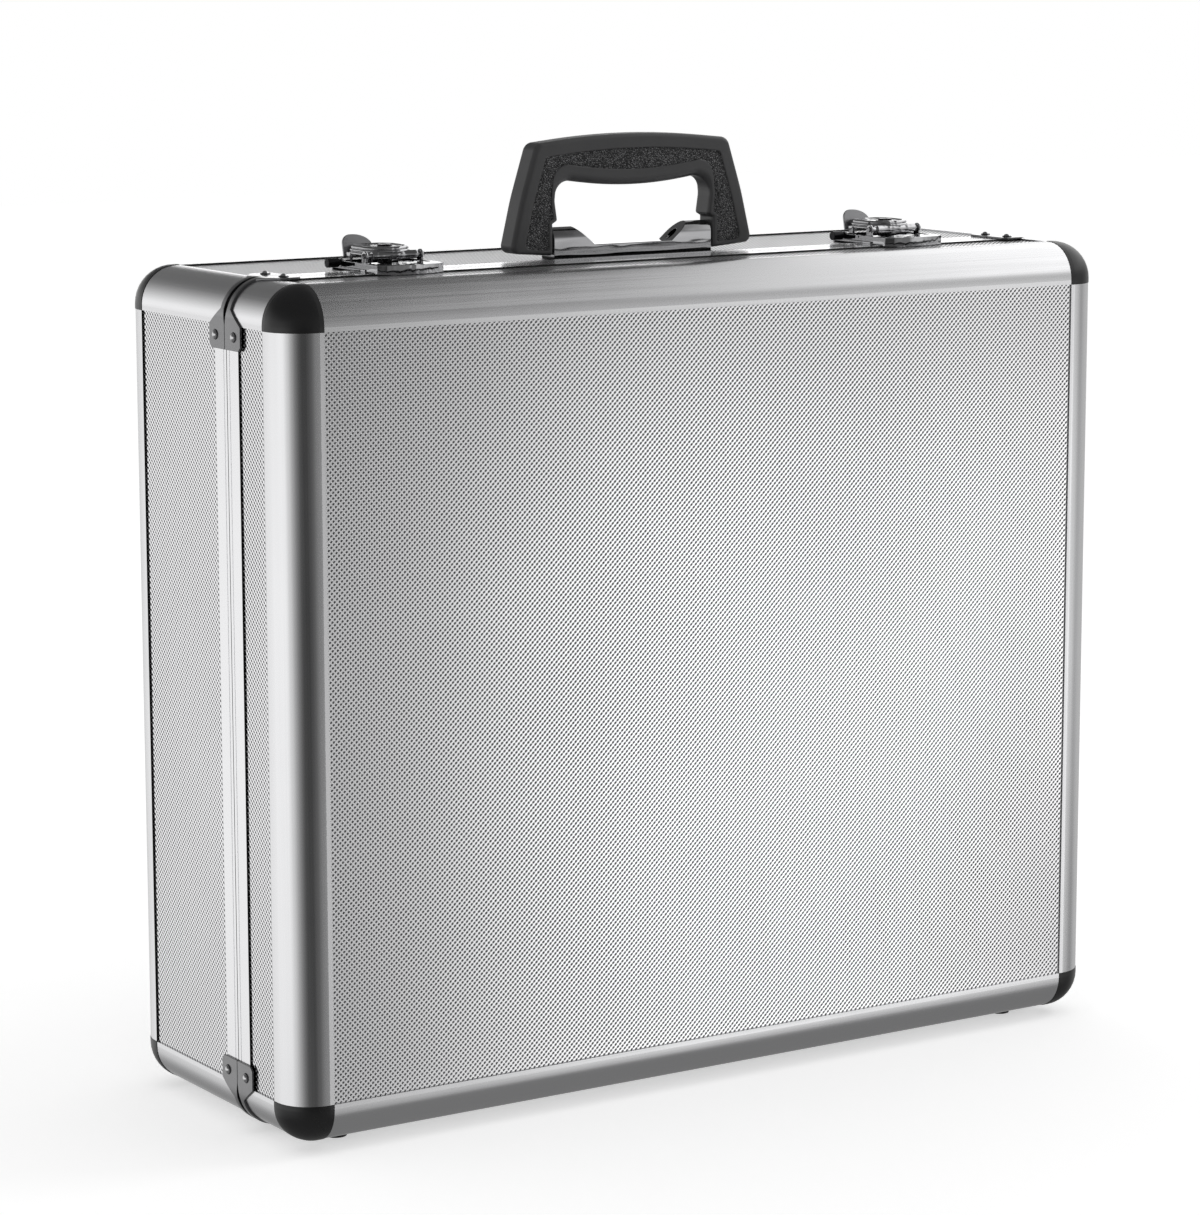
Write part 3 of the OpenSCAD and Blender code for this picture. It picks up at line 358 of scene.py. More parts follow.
def drawn_aluminium(name, along, colour, roughness, lip_shadow):
    """Anodised extrusion with die lines along one axis of the case and painted shadow on its lips.

    The lip shadow is a depth, a distance from it, and the side of that distance painted dark.
    """
    made, tree, shader = new_material(name, colour, 1, roughness)
    coordinates, xyz = object_xyz(tree)
    stretch = [900 if axis != along else 4 for axis in "XYZ"]
    lines = noise(tree, coordinates, 1, 2, stretch, 0.6)
    cloud = noise(tree, coordinates, 14, 3)
    shade = maths(tree, "ADD", maths(tree, "MULTIPLY", lines, 0.6),
                  maths(tree, "MULTIPLY", cloud, 0.4))
    drawn = tint(tree, shader, shade, [c * 0.97 for c in colour],
                 [min(1, c * 1.03) for c in colour])
    # Painted shadow: past the lip's depth, on the side given, the colour goes near black
    painted_lip_shadow = node(tree, "ShaderNodeMix", data_type="RGBA")
    from_split = maths(tree, "ABSOLUTE", maths(tree, "SUBTRACT", xyz[1], lip_shadow[0]))
    into_lip_shadow = maths(tree, "MULTIPLY", maths(tree, "SUBTRACT", from_split, lip_shadow[1]), lip_shadow[2])
    tree.links.new(ramp(tree, into_lip_shadow, -0.22 * MM, -0.12 * MM), painted_lip_shadow.inputs[0])
    tree.links.new(drawn.outputs[2], painted_lip_shadow.inputs[6])
    painted_lip_shadow.inputs[7].default_value = LIP_SHADOW_TONE
    tree.links.new(painted_lip_shadow.outputs[2], shader.inputs["Base Color"])
    tree.links.new(ramp(tree, shade, 0.3, 0.7, roughness * 0.85, roughness * 1.2),
                   shader.inputs["Roughness"])
    bump(tree, shader, lines, DIE_LINE_DEPTH)
    return made


EDGE_TONE = (0.80, 0.80, 0.81)
# The lips of the edges end here in depth: their faces beside the boards are painted dark, as the
# shadow that lies there
EDGE_LIP_SHADOW = (0.0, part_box("base_rim_top")[0][1], -1)
NO_LIP_SHADOW = (0.0, 1, 1)
edges = {axis: drawn_aluminium("edge_along_" + axis.lower(), axis, EDGE_TONE, 0.21,
                               NO_LIP_SHADOW if axis == "Y" else EDGE_LIP_SHADOW) for axis in "XYZ"}
dress(edges["X"], "lid_rim_top", "lid_rim_bottom", "base_rim_top", "base_rim_bottom")
dress(edges["Z"], "lid_rim_left", "lid_rim_right", "base_rim_left", "base_rim_right")
dress(edges["Y"], "lid_corner_rails", "base_corner_rails")


# Split frames: tongue-and-groove extrusions round the mouth of each shell, brighter than the
# edges, with one shallow line drawn along their outer face. They are pressed over the boards.
FRAME_TONE = (0.88, 0.88, 0.89)
split_y = (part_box("lid_frame_top")[0][1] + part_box("base_frame_top")[1][1]) / 2
# The outer edges of the frames' lips, beside the boards, are painted dark too, as their shadow
FRAME_LIP_SHADOW = (split_y, split_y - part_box("lid_frame_top")[0][1], 1)
bars = {axis: drawn_aluminium("frame_along_" + axis.lower(), axis, FRAME_TONE, 0.18, FRAME_LIP_SHADOW)
        for axis in "XZ"}
dress(bars["X"], "lid_frame_top", "lid_frame_bottom", "base_frame_top", "base_frame_bottom")
dress(bars["Z"], "lid_frame_sides", "base_frame_sides")


# Corner caps: eight moulded corners of satin black nylon with a fine spark-eroded skin. They
# are pushed over the ends of the edges and held by a rivet from the inside.
def moulded(name, tone, roughness, grain, depth):
    """Moulded black plastic with a fine eroded skin."""
    made, tree, shader = new_material(name, (tone, tone, tone * 1.04), 0, roughness)
    coordinates, xyz = object_xyz(tree)
    fine = noise(tree, coordinates, grain, 2)
    cloud = noise(tree, coordinates, 30, 4)
    tint(tree, shader, cloud, (tone * 0.8, tone * 0.8, tone * 0.83),
         (tone * 1.25, tone * 1.25, tone * 1.3))
    tree.links.new(ramp(tree, cloud, 0.3, 0.7, roughness * 0.88, roughness * 1.12),
                   shader.inputs["Roughness"])
    bump(tree, shader, fine, depth)
    return made


cap_plastic = moulded("cap_nylon", tone=0.014, roughness=0.30, grain=2600, depth=0.010 * MM)
dress(cap_plastic, "lid_corner_caps", "base_corner_caps")


# Corner straps: pressed steel, blued to a gunmetal grey under a clear lacquer, one bent over each
# corner of each frame. Two rivets hold each strap, and its sheared edges are eased by tumbling.
GRAIN_DEPTH = 0.002 * MM


def worked_metal(name, colour, roughness, brush=None, spread=0.12):
    """Plated or blued sheet with a brushed or tumbled face."""
    made, tree, shader = new_material(name, colour, 1, roughness)
    coordinates, xyz = object_xyz(tree)
    if brush:
        stretch = [1500 if axis != brush else 30 for axis in "XYZ"]
        grain = noise(tree, coordinates, 1, 3, stretch, 0.6)
    else:
        grain = noise(tree, coordinates, 700, 3)
    cloud = noise(tree, coordinates, 60, 4)
    shade = maths(tree, "ADD", maths(tree, "MULTIPLY", grain, 0.5),
                  maths(tree, "MULTIPLY", cloud, 0.5))
    tint(tree, shader, shade, [c * (1 - spread) for c in colour],
         [min(1, c * (1 + spread)) for c in colour])
    tree.links.new(ramp(tree, shade, 0.3, 0.7, roughness * 0.8, roughness * 1.25),
                   shader.inputs["Roughness"])
    bump(tree, shader, grain, GRAIN_DEPTH)
    return made


# How near two corners count as one, how flat a facet's edge goes, how steep a crease stays sharp
WELD = 0.0005 * MM
FLAT_ANGLE, CREASE_ANGLE = math.radians(0.5), math.radians(50)
body_of_node = {name: body for body, names in frame["record"]["behaviour"]["bodies"].items()
                for name in names}


def eased(node_name, material, width, steps=2, least=28, shape=None):
    """A copy of a part whose edges of more than the least angle are rounded over.

    A shape given is a function that works on the form before its edges are rounded.
    """
    form = bmesh.new()
    form.from_mesh(frame["nodes"][node_name].data)
    bmesh.ops.remove_doubles(form, verts=form.verts, dist=WELD)
    bmesh.ops.dissolve_limit(form, angle_limit=FLAT_ANGLE, verts=form.verts,
                             edges=form.edges, delimit=set())
    if shape:
        shape(form)
    sharp = [edge for edge in form.edges if len(edge.link_faces) == 2
             and math.degrees(edge.calc_face_angle(0)) > least]
    bmesh.ops.bevel(form, geom=sharp, offset=width, offset_type="OFFSET", segments=steps,
                    profile=0.5, affect="EDGES", clamp_overlap=False)
    mesh = bpy.data.meshes.new(node_name + "_eased")
    form.to_mesh(mesh)
    form.free()
    mesh.shade_smooth()
    mesh.set_sharp_from_angle(angle=CREASE_ANGLE)
    mesh.materials.append(material)
    piece = bpy.data.objects.new(node_name + "_eased", mesh)
    bpy.context.collection.objects.link(piece)
    piece.modifiers.new("even_faces", "WEIGHTED_NORMAL").keep_sharp = True
    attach(piece, body_of_node[node_name])
    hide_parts(node_name)


gunmetal = worked_metal("gunmetal", (0.145, 0.145, 0.15), 0.34)
lacquer = gunmetal.node_tree.nodes["Principled BSDF"].inputs
lacquer["Coat Weight"].default_value = 1
lacquer["Coat Roughness"].default_value = 0.06
lacquer["Coat IOR"].default_value = 1.7
for shell in ("lid", "base"):
    eased(shell + "_corner_straps", gunmetal, 0.22 * MM)


# Rivets: nickelled steel. Two pass through each corner strap, the frame and the edge under it,
# and each domed head is upset against a collar, painted near black as the shade round the head.
HEAD_WIDE, HEAD_HIGH = 4.0 * MM, 1.5 * MM
COLLAR_WIDE, COLLAR_HIGH, COLLAR_CREASE = 5.2 * MM, 0.45 * MM, math.radians(40)


def parts_of(node_name):
    """Lowest and highest corner of each separate solid of a CAD node."""
    form = bmesh.new()
    form.from_mesh(frame["nodes"][node_name].data)
    bmesh.ops.remove_doubles(form, verts=form.verts, dist=WELD)
    waiting, found = set(form.verts), []
    while waiting:
        front, solid = [waiting.pop()], []
        while front:
            spot = front.pop()
            solid.append(spot.co.copy())
            for edge in spot.link_edges:
                other = edge.other_vert(spot)
                if other in waiting:
                    waiting.remove(other)
                    front.append(other)
        found.append([Vector(pick(co[axis] for co in solid) for axis in range(3))
                      for pick in (min, max)])
    form.free()
    return sorted(found, key=lambda corners: tuple(round(value, 5) for value in corners[0]))


def rivet_tree():
    """Domed heads, each on a collar that carries painted shade, set on points on each rivet's
    axis.
    """
    tree = bpy.data.node_groups.new("set_rivets", "GeometryNodeTree")
    sides = tree.interface
    sides.new_socket("Geometry", in_out="INPUT", socket_type="NodeSocketGeometry")
    for label in ("Head diameter", "Head height", "Collar diameter", "Collar height"):
        sides.new_socket(label, in_out="INPUT", socket_type="NodeSocketFloat")
    for label in ("Head finish", "Collar finish and shade"):
        sides.new_socket(label, in_out="INPUT", socket_type="NodeSocketMaterial")
    sides.new_socket("Geometry", in_out="OUTPUT", socket_type="NodeSocketGeometry")
    given = node(tree, "NodeGroupInput").outputs
    axis = node(tree, "GeometryNodeInputNamedAttribute", data_type="FLOAT_VECTOR")
    axis.inputs["Name"].default_value = "axis"
    turned = node(tree, "FunctionNodeAlignRotationToVector", axis="Z")
    tree.links.new(axis.outputs["Attribute"], turned.inputs["Vector"])

    head = node(tree, "GeometryNodeMeshUVSphere")
    head.inputs["Segments"].default_value, head.inputs["Rings"].default_value = 24, 12
    head.inputs["Radius"].default_value = 1
    size = node(tree, "ShaderNodeCombineXYZ")
    for at in (0, 1):
        tree.links.new(maths(tree, "MULTIPLY", given["Head diameter"], 0.5), size.inputs[at])
    tree.links.new(given["Head height"], size.inputs[2])
    dome = node(tree, "GeometryNodeTransform")
    tree.links.new(head.outputs[0], dome.inputs["Geometry"])
    tree.links.new(size.outputs[0], dome.inputs["Scale"])

    collar = node(tree, "GeometryNodeMeshCone")
    collar.inputs["Vertices"].default_value = 28
    tree.links.new(maths(tree, "MULTIPLY", given["Collar diameter"], 0.44),
                   collar.inputs["Radius Top"])
    tree.links.new(maths(tree, "MULTIPLY", given["Collar diameter"], 0.5),
                   collar.inputs["Radius Bottom"])
    tree.links.new(given["Collar height"], collar.inputs["Depth"])

    joined = node(tree, "GeometryNodeJoinGeometry")
    for shape, finish in ((dome, "Head finish"), (collar, "Collar finish and shade")):
        placed = node(tree, "GeometryNodeInstanceOnPoints")
        tree.links.new(given["Geometry"], placed.inputs["Points"])
        tree.links.new(shape.outputs[0], placed.inputs["Instance"])
        tree.links.new(turned.outputs[0], placed.inputs["Rotation"])
        real = node(tree, "GeometryNodeRealizeInstances")
        tree.links.new(placed.outputs[0], real.inputs[0])
        painted = node(tree, "GeometryNodeSetMaterial")
        tree.links.new(real.outputs[0], painted.inputs["Geometry"])
        tree.links.new(given[finish], painted.inputs["Material"])
        tree.links.new(painted.outputs[0], joined.inputs[0])
    tree.links.new(joined.outputs[0], node(tree, "NodeGroupOutput").inputs[0])
    return tree


rivet_head = worked_metal("rivet_head", (0.66, 0.66, 0.67), 0.20)
# Painted shade: the collars are near black, as the shade round each domed head
rivet_collar_painted_dark = worked_metal("rivet_collar_painted_dark", (0.10, 0.10, 0.105), 0.38)
rivet_maker = rivet_tree()
for shell in ("lid", "base"):
    straps_low, straps_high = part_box(shell + "_corner_straps")
    half_way_up = (straps_low[2] + straps_high[2]) / 2
    places, axes = [], []
    for low, high in parts_of(shell + "_rivets"):
        middle = (low + high) / 2
        if high.x - low.x < high.z - low.z:
            side = 1 if middle.x > 0 else -1
            axes.append((side, 0, 0))
            middle.x = side * straps_high[0]
        else:
            side = 1 if middle.z > half_way_up else -1
            axes.append((0, 0, side))
            middle.z = (straps_high if side > 0 else straps_low)[2]
        places.append(middle)
    mesh = bpy.data.meshes.new(shell + "_rivet_places")
    mesh.from_pydata(places, [], [])
    mesh.attributes.new("axis", "FLOAT_VECTOR", "POINT").data.foreach_set(
        "vector", [value for axis in axes for value in axis])
    maker = bpy.data.objects.new(shell + "_rivet_heads", mesh)
    bpy.context.collection.objects.link(maker)
    row = maker.modifiers.new("rivets", "NODES")
    row.node_group = rivet_maker
    wanted = {"Head diameter": HEAD_WIDE, "Head height": HEAD_HIGH,
              "Collar diameter": COLLAR_WIDE, "Collar height": COLLAR_HIGH,
              "Head finish": rivet_head, "Collar finish and shade": rivet_collar_painted_dark}
    for item in rivet_maker.interface.items_tree:
        if item.in_out == "INPUT" and item.name in wanted:
            row[item.identifier] = wanted[item.name]
    finished = bpy.data.meshes.new_from_object(
        maker.evaluated_get(bpy.context.evaluated_depsgraph_get()))
    maker.modifiers.remove(row)
    maker.data = finished
    finished.shade_smooth()
    finished.set_sharp_from_angle(angle=COLLAR_CREASE)
    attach(maker, shell)
    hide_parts(shell + "_rivets")


# Linings: charcoal polyurethane foam, cut from sheet and glued to the inside of each shell. The
# knife opens its cells, which leaves a finely pored, dull skin.
PORES_A_METRE = 900
foam, tree, shader = new_material("lining_foam", (0.05, 0.05, 0.053), 0, 0.95)
coordinates, xyz = object_xyz(tree)
pores = node(tree, "ShaderNodeTexVoronoi")
pores.inputs["Scale"].default_value = PORES_A_METRE
tree.links.new(coordinates, pores.inputs["Vector"])
cloud = noise(tree, coordinates, 120, 4)
pore = maths(tree, "ADD", maths(tree, "MULTIPLY", pores.outputs["Distance"], 0.7),
             maths(tree, "MULTIPLY", cloud, 0.5))
# Painted shade: the pores are darker than the cell walls round them, as the shade in them; the
# cloudy tone mixed in varies at random
tint(tree, shader, pore, (0.030, 0.030, 0.032), (0.085, 0.085, 0.090))
bump(tree, shader, pore, 0.25 * MM)
shader.inputs["Sheen Weight"].default_value = 0.25
dress(foam, "lid_lining", "base_lining")


# Feet: four buttons of black rubber, moulded and pressed into holes in the lower edges. They
# keep the aluminium off the floor and the table.
rubber = moulded("foot_rubber", tone=0.022, roughness=0.62, grain=1500, depth=0.02 * MM)
dress(rubber, "lid_feet", "base_feet")


# Hinges: two butt hinges rolled from steel strip and zinc plated, one leaf on the outer face of
# each split frame under the case, with a loose pin through the knuckles.
zinc = worked_metal("zinc_plate", (0.62, 0.62, 0.63), 0.28, brush="X")
dress(zinc, "lid_hinge_leaves", "base_hinge_leaves", "hinge_pins")


# Lid stays: at each end two arms of zinc-plated steel strip, riveted together at the knee and
# hung on headed studs in the shells. They fold as the lid shuts and stop it when it is open.
stay_metal = worked_metal("stay_strip", (0.60, 0.60, 0.61), 0.30, brush="Z")
dress(stay_metal, "stay_left_base_arm", "stay_left_lid_arm", "stay_right_base_arm",
      "stay_right_lid_arm", "lid_stay_studs", "base_stay_studs")


# Handle bracket: a channel pressed from steel sheet and chromed, with raised ends for the pins of
# the handle. It is screwed down through the top board, and a dark line of painted shadow runs
# along its foot.
# The catches of the latches are pressed and plated in the same way.
CHROME_TONE, CHROME_ROUGHNESS = (0.54, 0.54, 0.55), 0.05
# Painted shadow along the bracket's foot: where it starts and ends in height, and its tone
FOOT_SHADOW_LOW, FOOT_SHADOW_HIGH, FOOT_SHADOW_TONE = 0.9 * MM, 1.5 * MM, (0.03, 0.03, 0.03, 1)


def pressed_chrome(name, ripple, stretch):
    """Chromed pressing, which the press leaves wavy: how deep, and how fine along each axis."""
    made = worked_metal(name, CHROME_TONE, CHROME_ROUGHNESS, spread=0.03)
    tree = made.node_tree
    coordinates, xyz = object_xyz(tree)
    bump(tree, tree.nodes["Principled BSDF"], noise(tree, coordinates, 1, 1, stretch), ripple)
    return made


chrome = pressed_chrome("chrome_plate", 0.30 * MM, (220, 220, 90))
bracket_chrome = pressed_chrome("bracket_chrome", 0.12 * MM, (50, 150, 200))
tree = bracket_chrome.node_tree
shader = tree.nodes["Principled BSDF"]
plating = shader.inputs["Base Color"].links[0].from_socket
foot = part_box("handle_bracket")[0][2]
# Painted shadow: the chrome goes near black in a band along the foot, where it stands on the board
painted_foot_shadow = node(tree, "ShaderNodeMix", data_type="RGBA")
tree.links.new(ramp(tree, object_xyz(tree)[1][2], foot + FOOT_SHADOW_LOW, foot + FOOT_SHADOW_HIGH),
               painted_foot_shadow.inputs[0])
painted_foot_shadow.inputs[6].default_value = FOOT_SHADOW_TONE
tree.links.new(plating, painted_foot_shadow.inputs[7])
tree.links.new(painted_foot_shadow.outputs[2], shader.inputs["Base Color"])
eased("handle_bracket", bracket_chrome, 0.35 * MM, steps=3)
eased("lid_catches", chrome, 0.25 * MM)
dress(chrome, "handle_pins")


# Handle grip: moulded in one piece of black plastic, hollowed for the pins of the bracket. Its
# two faces are sunk inside a smooth rounded border and textured like leather, the belly is plain.
case_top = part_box("base_frame_top")[1][2] / MM
# In mm from the middle of the grip and the top of the case: the outline's main sizes, the pins
# with the round of the feet, and the rounding, border, fall and crown of the faces
GRIP_WIDE, GRIP_HIGH, GRIP_DEEP = 147.4, 61.0, 13.4
LEG_X = 97.2 / 2
BELLY_Z = GRIP_HIGH - 26
NOTCH_Z = 16.8
PIVOT_Z, FOOT_TURN = 8.6, 9.0
EDGE_ROUND, BORDER, SUNK, CROWN = 2.3, 5.3, 0.5, 0.3
LEAST_ROUND = 3
WALL_STEPS, FIELD_ROWS = 8, 6
# Corners of the outline: x, z, radius, steps, each opposite the inner corner in the same place
outer_right = [(LEG_X + 0.1, 1, 1.2, 6), (GRIP_WIDE / 2, 3, 4, 10),
               (GRIP_WIDE / 2 - 6.6, 30, 150, 8), (GRIP_WIDE / 2 - 15.4, GRIP_HIGH - 3.7, 5.5, 14)]
inner_right = [(LEG_X + 0.1, NOTCH_Z, 0.8, 6), (LEG_X - 2.8, NOTCH_Z + 1.7, 1.2, 10),
               (LEG_X - 1.3, BELLY_Z - 6.6, 12, 8), (LEG_X - 2.4, BELLY_Z + 4.4, 9, 14)]
crest, belly = (0, GRIP_HIGH + 2.3, 430, 24), (0, BELLY_Z - 2.2, 225, 24)


def to_left(corners):
    return [(-x, *rest) for x, *rest in corners]


corners = (outer_right + [crest] + to_left(outer_right[::-1])
           + to_left(inner_right) + [belly] + inner_right[::-1])
# Share of the rounding, of its depth and of the border on the edge that leaves each corner
round_share = [0.5] + [1] * 6 + [0.5] * 5 + [1.9, 1.9] + [0.5] * 4
depth_share = [1] * 12 + [1.7, 1.7] + [1] * 4
border_share = [0.28] + [1] * 6 + [0.28] * 5 + [0.72, 0.72] + [0.28] * 4


def grip_loop(rounded, bordered):
    """Points of the outline moved inwards, each with the depth share of its place."""
    count = len(corners)
    spots = [Vector((x, z)) for x, z, *_ in corners]

    def moved(i):
        i %= count
        before, here, after = spots[i - 1], spots[i], spots[(i + 1) % count]
        u, w = (here - before).normalized(), (after - here).normalized()
        shift = [rounded * round_share[k] + bordered * border_share[k] for k in (i - 1, i)]
        p = here + Vector((-u.y, u.x)) * shift[0]
        q = here + Vector((-w.y, w.x)) * shift[1]
        return p + u * ((q - p).cross(w) / u.cross(w))

    points = []
    for i, (_, _, radius, steps) in enumerate(corners):
        a, b, c = moved(i - 1), moved(i), moved(i + 1)
        if (b - a).cross(c - b) > 0:
            radius = max(min(radius, LEAST_ROUND), radius - rounded - bordered)
        u, w = (a - b).normalized(), (c - b).normalized()
        half = math.acos(max(-1, min(1, u.dot(w)))) / 2
        middle = b + (u + w).normalized() * (radius / math.sin(half))
        arm = b + u * (radius / math.tan(half)) - middle
        sweep = (math.pi - 2 * half) * (1 if (b - a).cross(c - b) > 0 else -1)
        for k in range(steps + 1):
            turn = sweep * k / steps
            spot = middle + Vector((arm.x * math.cos(turn) - arm.y * math.sin(turn),
                                    arm.x * math.sin(turn) + arm.y * math.cos(turn)))
            share = depth_share[i - 1] + (depth_share[i] - depth_share[i - 1]) * k / steps
            points.append((spot, share))
    return points


half_y = GRIP_DEEP / 2
# Rings from the middle of the wall to the rim of the field: inset of the rounding, inset of
# the border, fall from the front plane (the rounding's share of it varies), leather
rings = [(EDGE_ROUND * (1 - math.cos(a)), 0, EDGE_ROUND * (1 - math.sin(a)), 0.05, 0)
         for a in [math.pi / 2 * k / WALL_STEPS for k in range(WALL_STEPS + 1)]]
rings += [(EDGE_ROUND, BORDER * share, 0, fall, leather) for share, fall, leather in (
    (0.12, 0.01, 0), (0.5, 0, 0), (0.82, 0, 0), (0.88, 0.07, 0), (0.93, 0.25, 0),
    (0.97, 0.43, 1), (1, SUNK, 1))]
form = bmesh.new()
leather_layer = form.verts.layers.float.new("leather")


def grip_vertex(spot, y, leather):
    """A vertex of the grip; the feet are rounded about the pins."""
    z = spot.y
    if z < PIVOT_Z:
        z = max(z, PIVOT_Z - math.sqrt(max(0, FOOT_TURN ** 2 - y * y)))
    made = form.verts.new((spot.x * MM, y * MM, (z + case_top) * MM))
    made[leather_layer] = leather
    return made


levels = []
for side in (-1, 1):
    for rounded, bordered, drop, fall, leather in (rings if side == 1 else rings[::-1]):
        levels.append([grip_vertex(spot, side * (half_y - fall - drop * share), leather)
                       for spot, share in grip_loop(rounded, bordered)])
count = len(levels[0])
for lower, upper in zip(levels, levels[1:]):
    for i in range(count):
        j = (i + 1) % count
        form.faces.new((lower[i], upper[i], upper[j], lower[j]))
for rim, side in ((levels[0], -1), (levels[-1], 1)):
    field = []
    for i in range(count // 2):
        start, end = rim[i], rim[count - 1 - i]
        row = [start]
        for k in range(1, FIELD_ROWS):
            share = k / FIELD_ROWS
            place = start.co.lerp(end.co, share)
            place.y = side * (half_y - SUNK + CROWN * (1 - (2 * share - 1) ** 4)) * MM
            made = form.verts.new(place)
            made[leather_layer] = 1
            row.append(made)
        field.append(row + [end])
    for row, following in zip(field, field[1:]):
        for k in range(FIELD_ROWS):
            form.faces.new((row[k], row[k + 1], following[k + 1], following[k]))
bmesh.ops.recalc_face_normals(form, faces=form.faces)
mesh = bpy.data.meshes.new("handle_grip_moulding")
form.to_mesh(mesh)
form.free()
mesh.shade_smooth()

# Leather of the field: size of its cells, painted shade in the creases and painted highlight on
# the tops, how far the clouds, the field (lifted as painted highlight) and the border go towards
# the tops, depth of the creases, and how matt the creases, the tops and the smooth border are
LEATHER_CELL = 0.9 * MM
CREASE_SHADE_TONE, TOP_HIGHLIGHT_TONE = (0.006, 0.006, 0.007), (0.210, 0.210, 0.214)
CLOUD_SHARE, FIELD_HIGHLIGHT_SHARE, PLAIN_SHARE = 0.18, 0.7, 0.17
CREASE_DEPTH = 0.35 * MM
CREASE_MATT, TOP_MATT, BORDER_MATT = 0.6, 0.26, 0.33
grip_plastic, tree, shader = new_material("grip_plastic", (0.034, 0.034, 0.036), 0, 0.40)
coordinates, xyz = object_xyz(tree)
leather = node(tree, "ShaderNodeAttribute", attribute_name="leather").outputs["Fac"]
wander = noise(tree, coordinates, 1.3 / LEATHER_CELL, 2)
bend = node(tree, "ShaderNodeCombineXYZ")
tree.links.new(maths(tree, "MULTIPLY", wander, LEATHER_CELL * 1.6), bend.inputs[0])
tree.links.new(maths(tree, "MULTIPLY", wander, LEATHER_CELL * -1.2), bend.inputs[2])
cells = node(tree, "ShaderNodeTexVoronoi", feature="DISTANCE_TO_EDGE")
cells.inputs["Scale"].default_value = 1 / LEATHER_CELL
tree.links.new(vmath(tree, "ADD", coordinates, bend.outputs[0]), cells.inputs["Vector"])
pebble = ramp(tree, cells.outputs["Distance"], 0.02, 0.30)
fine = noise(tree, coordinates, 1300, 2)
cloud = noise(tree, coordinates, 40, 4)
pressed = maths(tree, "MULTIPLY", leather, maths(tree, "SUBTRACT", pebble, 1))
# Painted shade and highlight: creases go near black and pebble tops light, as their shade and
# glints, and the field is lifted above the plain border; the clouds vary the tone at random
tone = maths(tree, "ADD", maths(tree, "MULTIPLY", cloud, CLOUD_SHARE), maths(
    tree, "ADD", pressed, maths(tree, "ADD", maths(tree, "MULTIPLY", leather, FIELD_HIGHLIGHT_SHARE),
                                PLAIN_SHARE)))
tint(tree, shader, tone, CREASE_SHADE_TONE, TOP_HIGHLIGHT_TONE)
smooth = maths(tree, "ADD", maths(tree, "MULTIPLY", cloud, 0.1), BORDER_MATT)
tree.links.new(blend_values(tree, leather, smooth,
                            blend_values(tree, pebble, CREASE_MATT, TOP_MATT)),
               shader.inputs["Roughness"])
height = maths(tree, "ADD", pressed, maths(tree, "MULTIPLY", fine, 0.08))
bump(tree, shader, height, CREASE_DEPTH)
mesh.materials.append(grip_plastic)
grip = bpy.data.objects.new("handle_grip_moulding", mesh)
bpy.context.collection.objects.link(grip)
grip.modifiers.new("even_faces", "WEIGHTED_NORMAL")
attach(grip, "handle")
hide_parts("handle_grip")


# Draw latches: pressed and chromed steel, one to each side of the handle, with their base plates
# riveted to the base. Each lever is a dished cover with a stepped rim, a rolled front edge and a
# brushed finger tab, and draws a bowed hook plate over its catch on the lid.
LATCH_X, SHEET = 152.0, 1.2
# Outline of the cover, in mm from the middle of the latch, the split and the top of the case
COVER_WIDE, COVER_LONG, COVER_FRONT = 27.0, 30.0, 0.4
COVER_CORNER, COVER_TIGHTEST = 11.0, 0.6
# Section of the cover from its lower edge over the rims to the flat of the dish, and back
# underneath: distance in from the outline, height above the case
DISH = 10.0
COVER_SECTION = ((1.3, 6.8), (0.45, 6.9), (0.0, 7.35), (0.0, 8.0), (0.35, 8.45), (0.8, 8.6),
                 (0.45, 8.85), (0.3, 9.3), (0.5, 9.8), (1.1, 10.05), (0.9, 10.4), (1.0, 11.0),
                 (1.4, 11.45), (2.1, 11.6), (2.8, 11.5), (3.4, 11.15), (4.6, 10.95), (7.5, 10.8),
                 (DISH, 10.8), (DISH, 9.8), (3.2, 9.8), (2.6, 9.4), (2.4, 8.2), (1.8, 7.9))
# The front edge is rolled round the lever's pin: x and radius
PIVOT = (2.5, 7.4)
ROLL_SECTION = ((-12.0, 1.7), (-11.7, 2.0), (-11.2, 2.1), (12.7, 2.1), (13.2, 2.0), (13.5, 1.6))
# A boss stands round the lock: radius and height
LOCK_Y = 10.4
BOSS_SECTION = ((4.8, 9.9), (4.8, 11.1), (4.5, 11.4), (3.95, 11.4), (3.75, 11.2), (3.75, 9.9))
# Two lugs hang from the cover and hold the rod
ROD = (22.0, 3.4)
LUG_FACES, LUG_ROUND, LUG_TOP = (12.3, 13.7), 1.8, 8.0
# The finger tab has a long round on its right and a short one on its left
TAB_MIDDLE, TAB_HALF, TAB_LONG, TAB_LEAN = -4.0, 8.6, 10.5, math.radians(12)
TAB_SHOULDER, TAB_ROUND_AT, TAB_CORNER, TAB_EASE = 2.4, (-2.6, 3.2), 4.4, 0.25
TAB_TUCK, TAB_DROP, TAB_CENTRE = 2.0, 1.6, Vector((-0.5, 5))
# The front wall of a hook plate is cut into steps and bowed this far over this half width
HOOK_BOW, BOW_HALF, BOW_REACH = 1.5, 14.5, 1.02
BOW_STEP, BOW_STEPS, HOOK_WALL = 2.0, 7, 2.0


def arc(middle, across, up, start, quarters, steps):
    """Points along an ellipse, from a number of quarter turns on over some more."""
    turns = [math.pi / 2 * (start + quarters * k / steps) for k in range(steps + 1)]
    return [(middle[0] + across * math.cos(a), middle[1] + up * math.sin(a)) for a in turns]


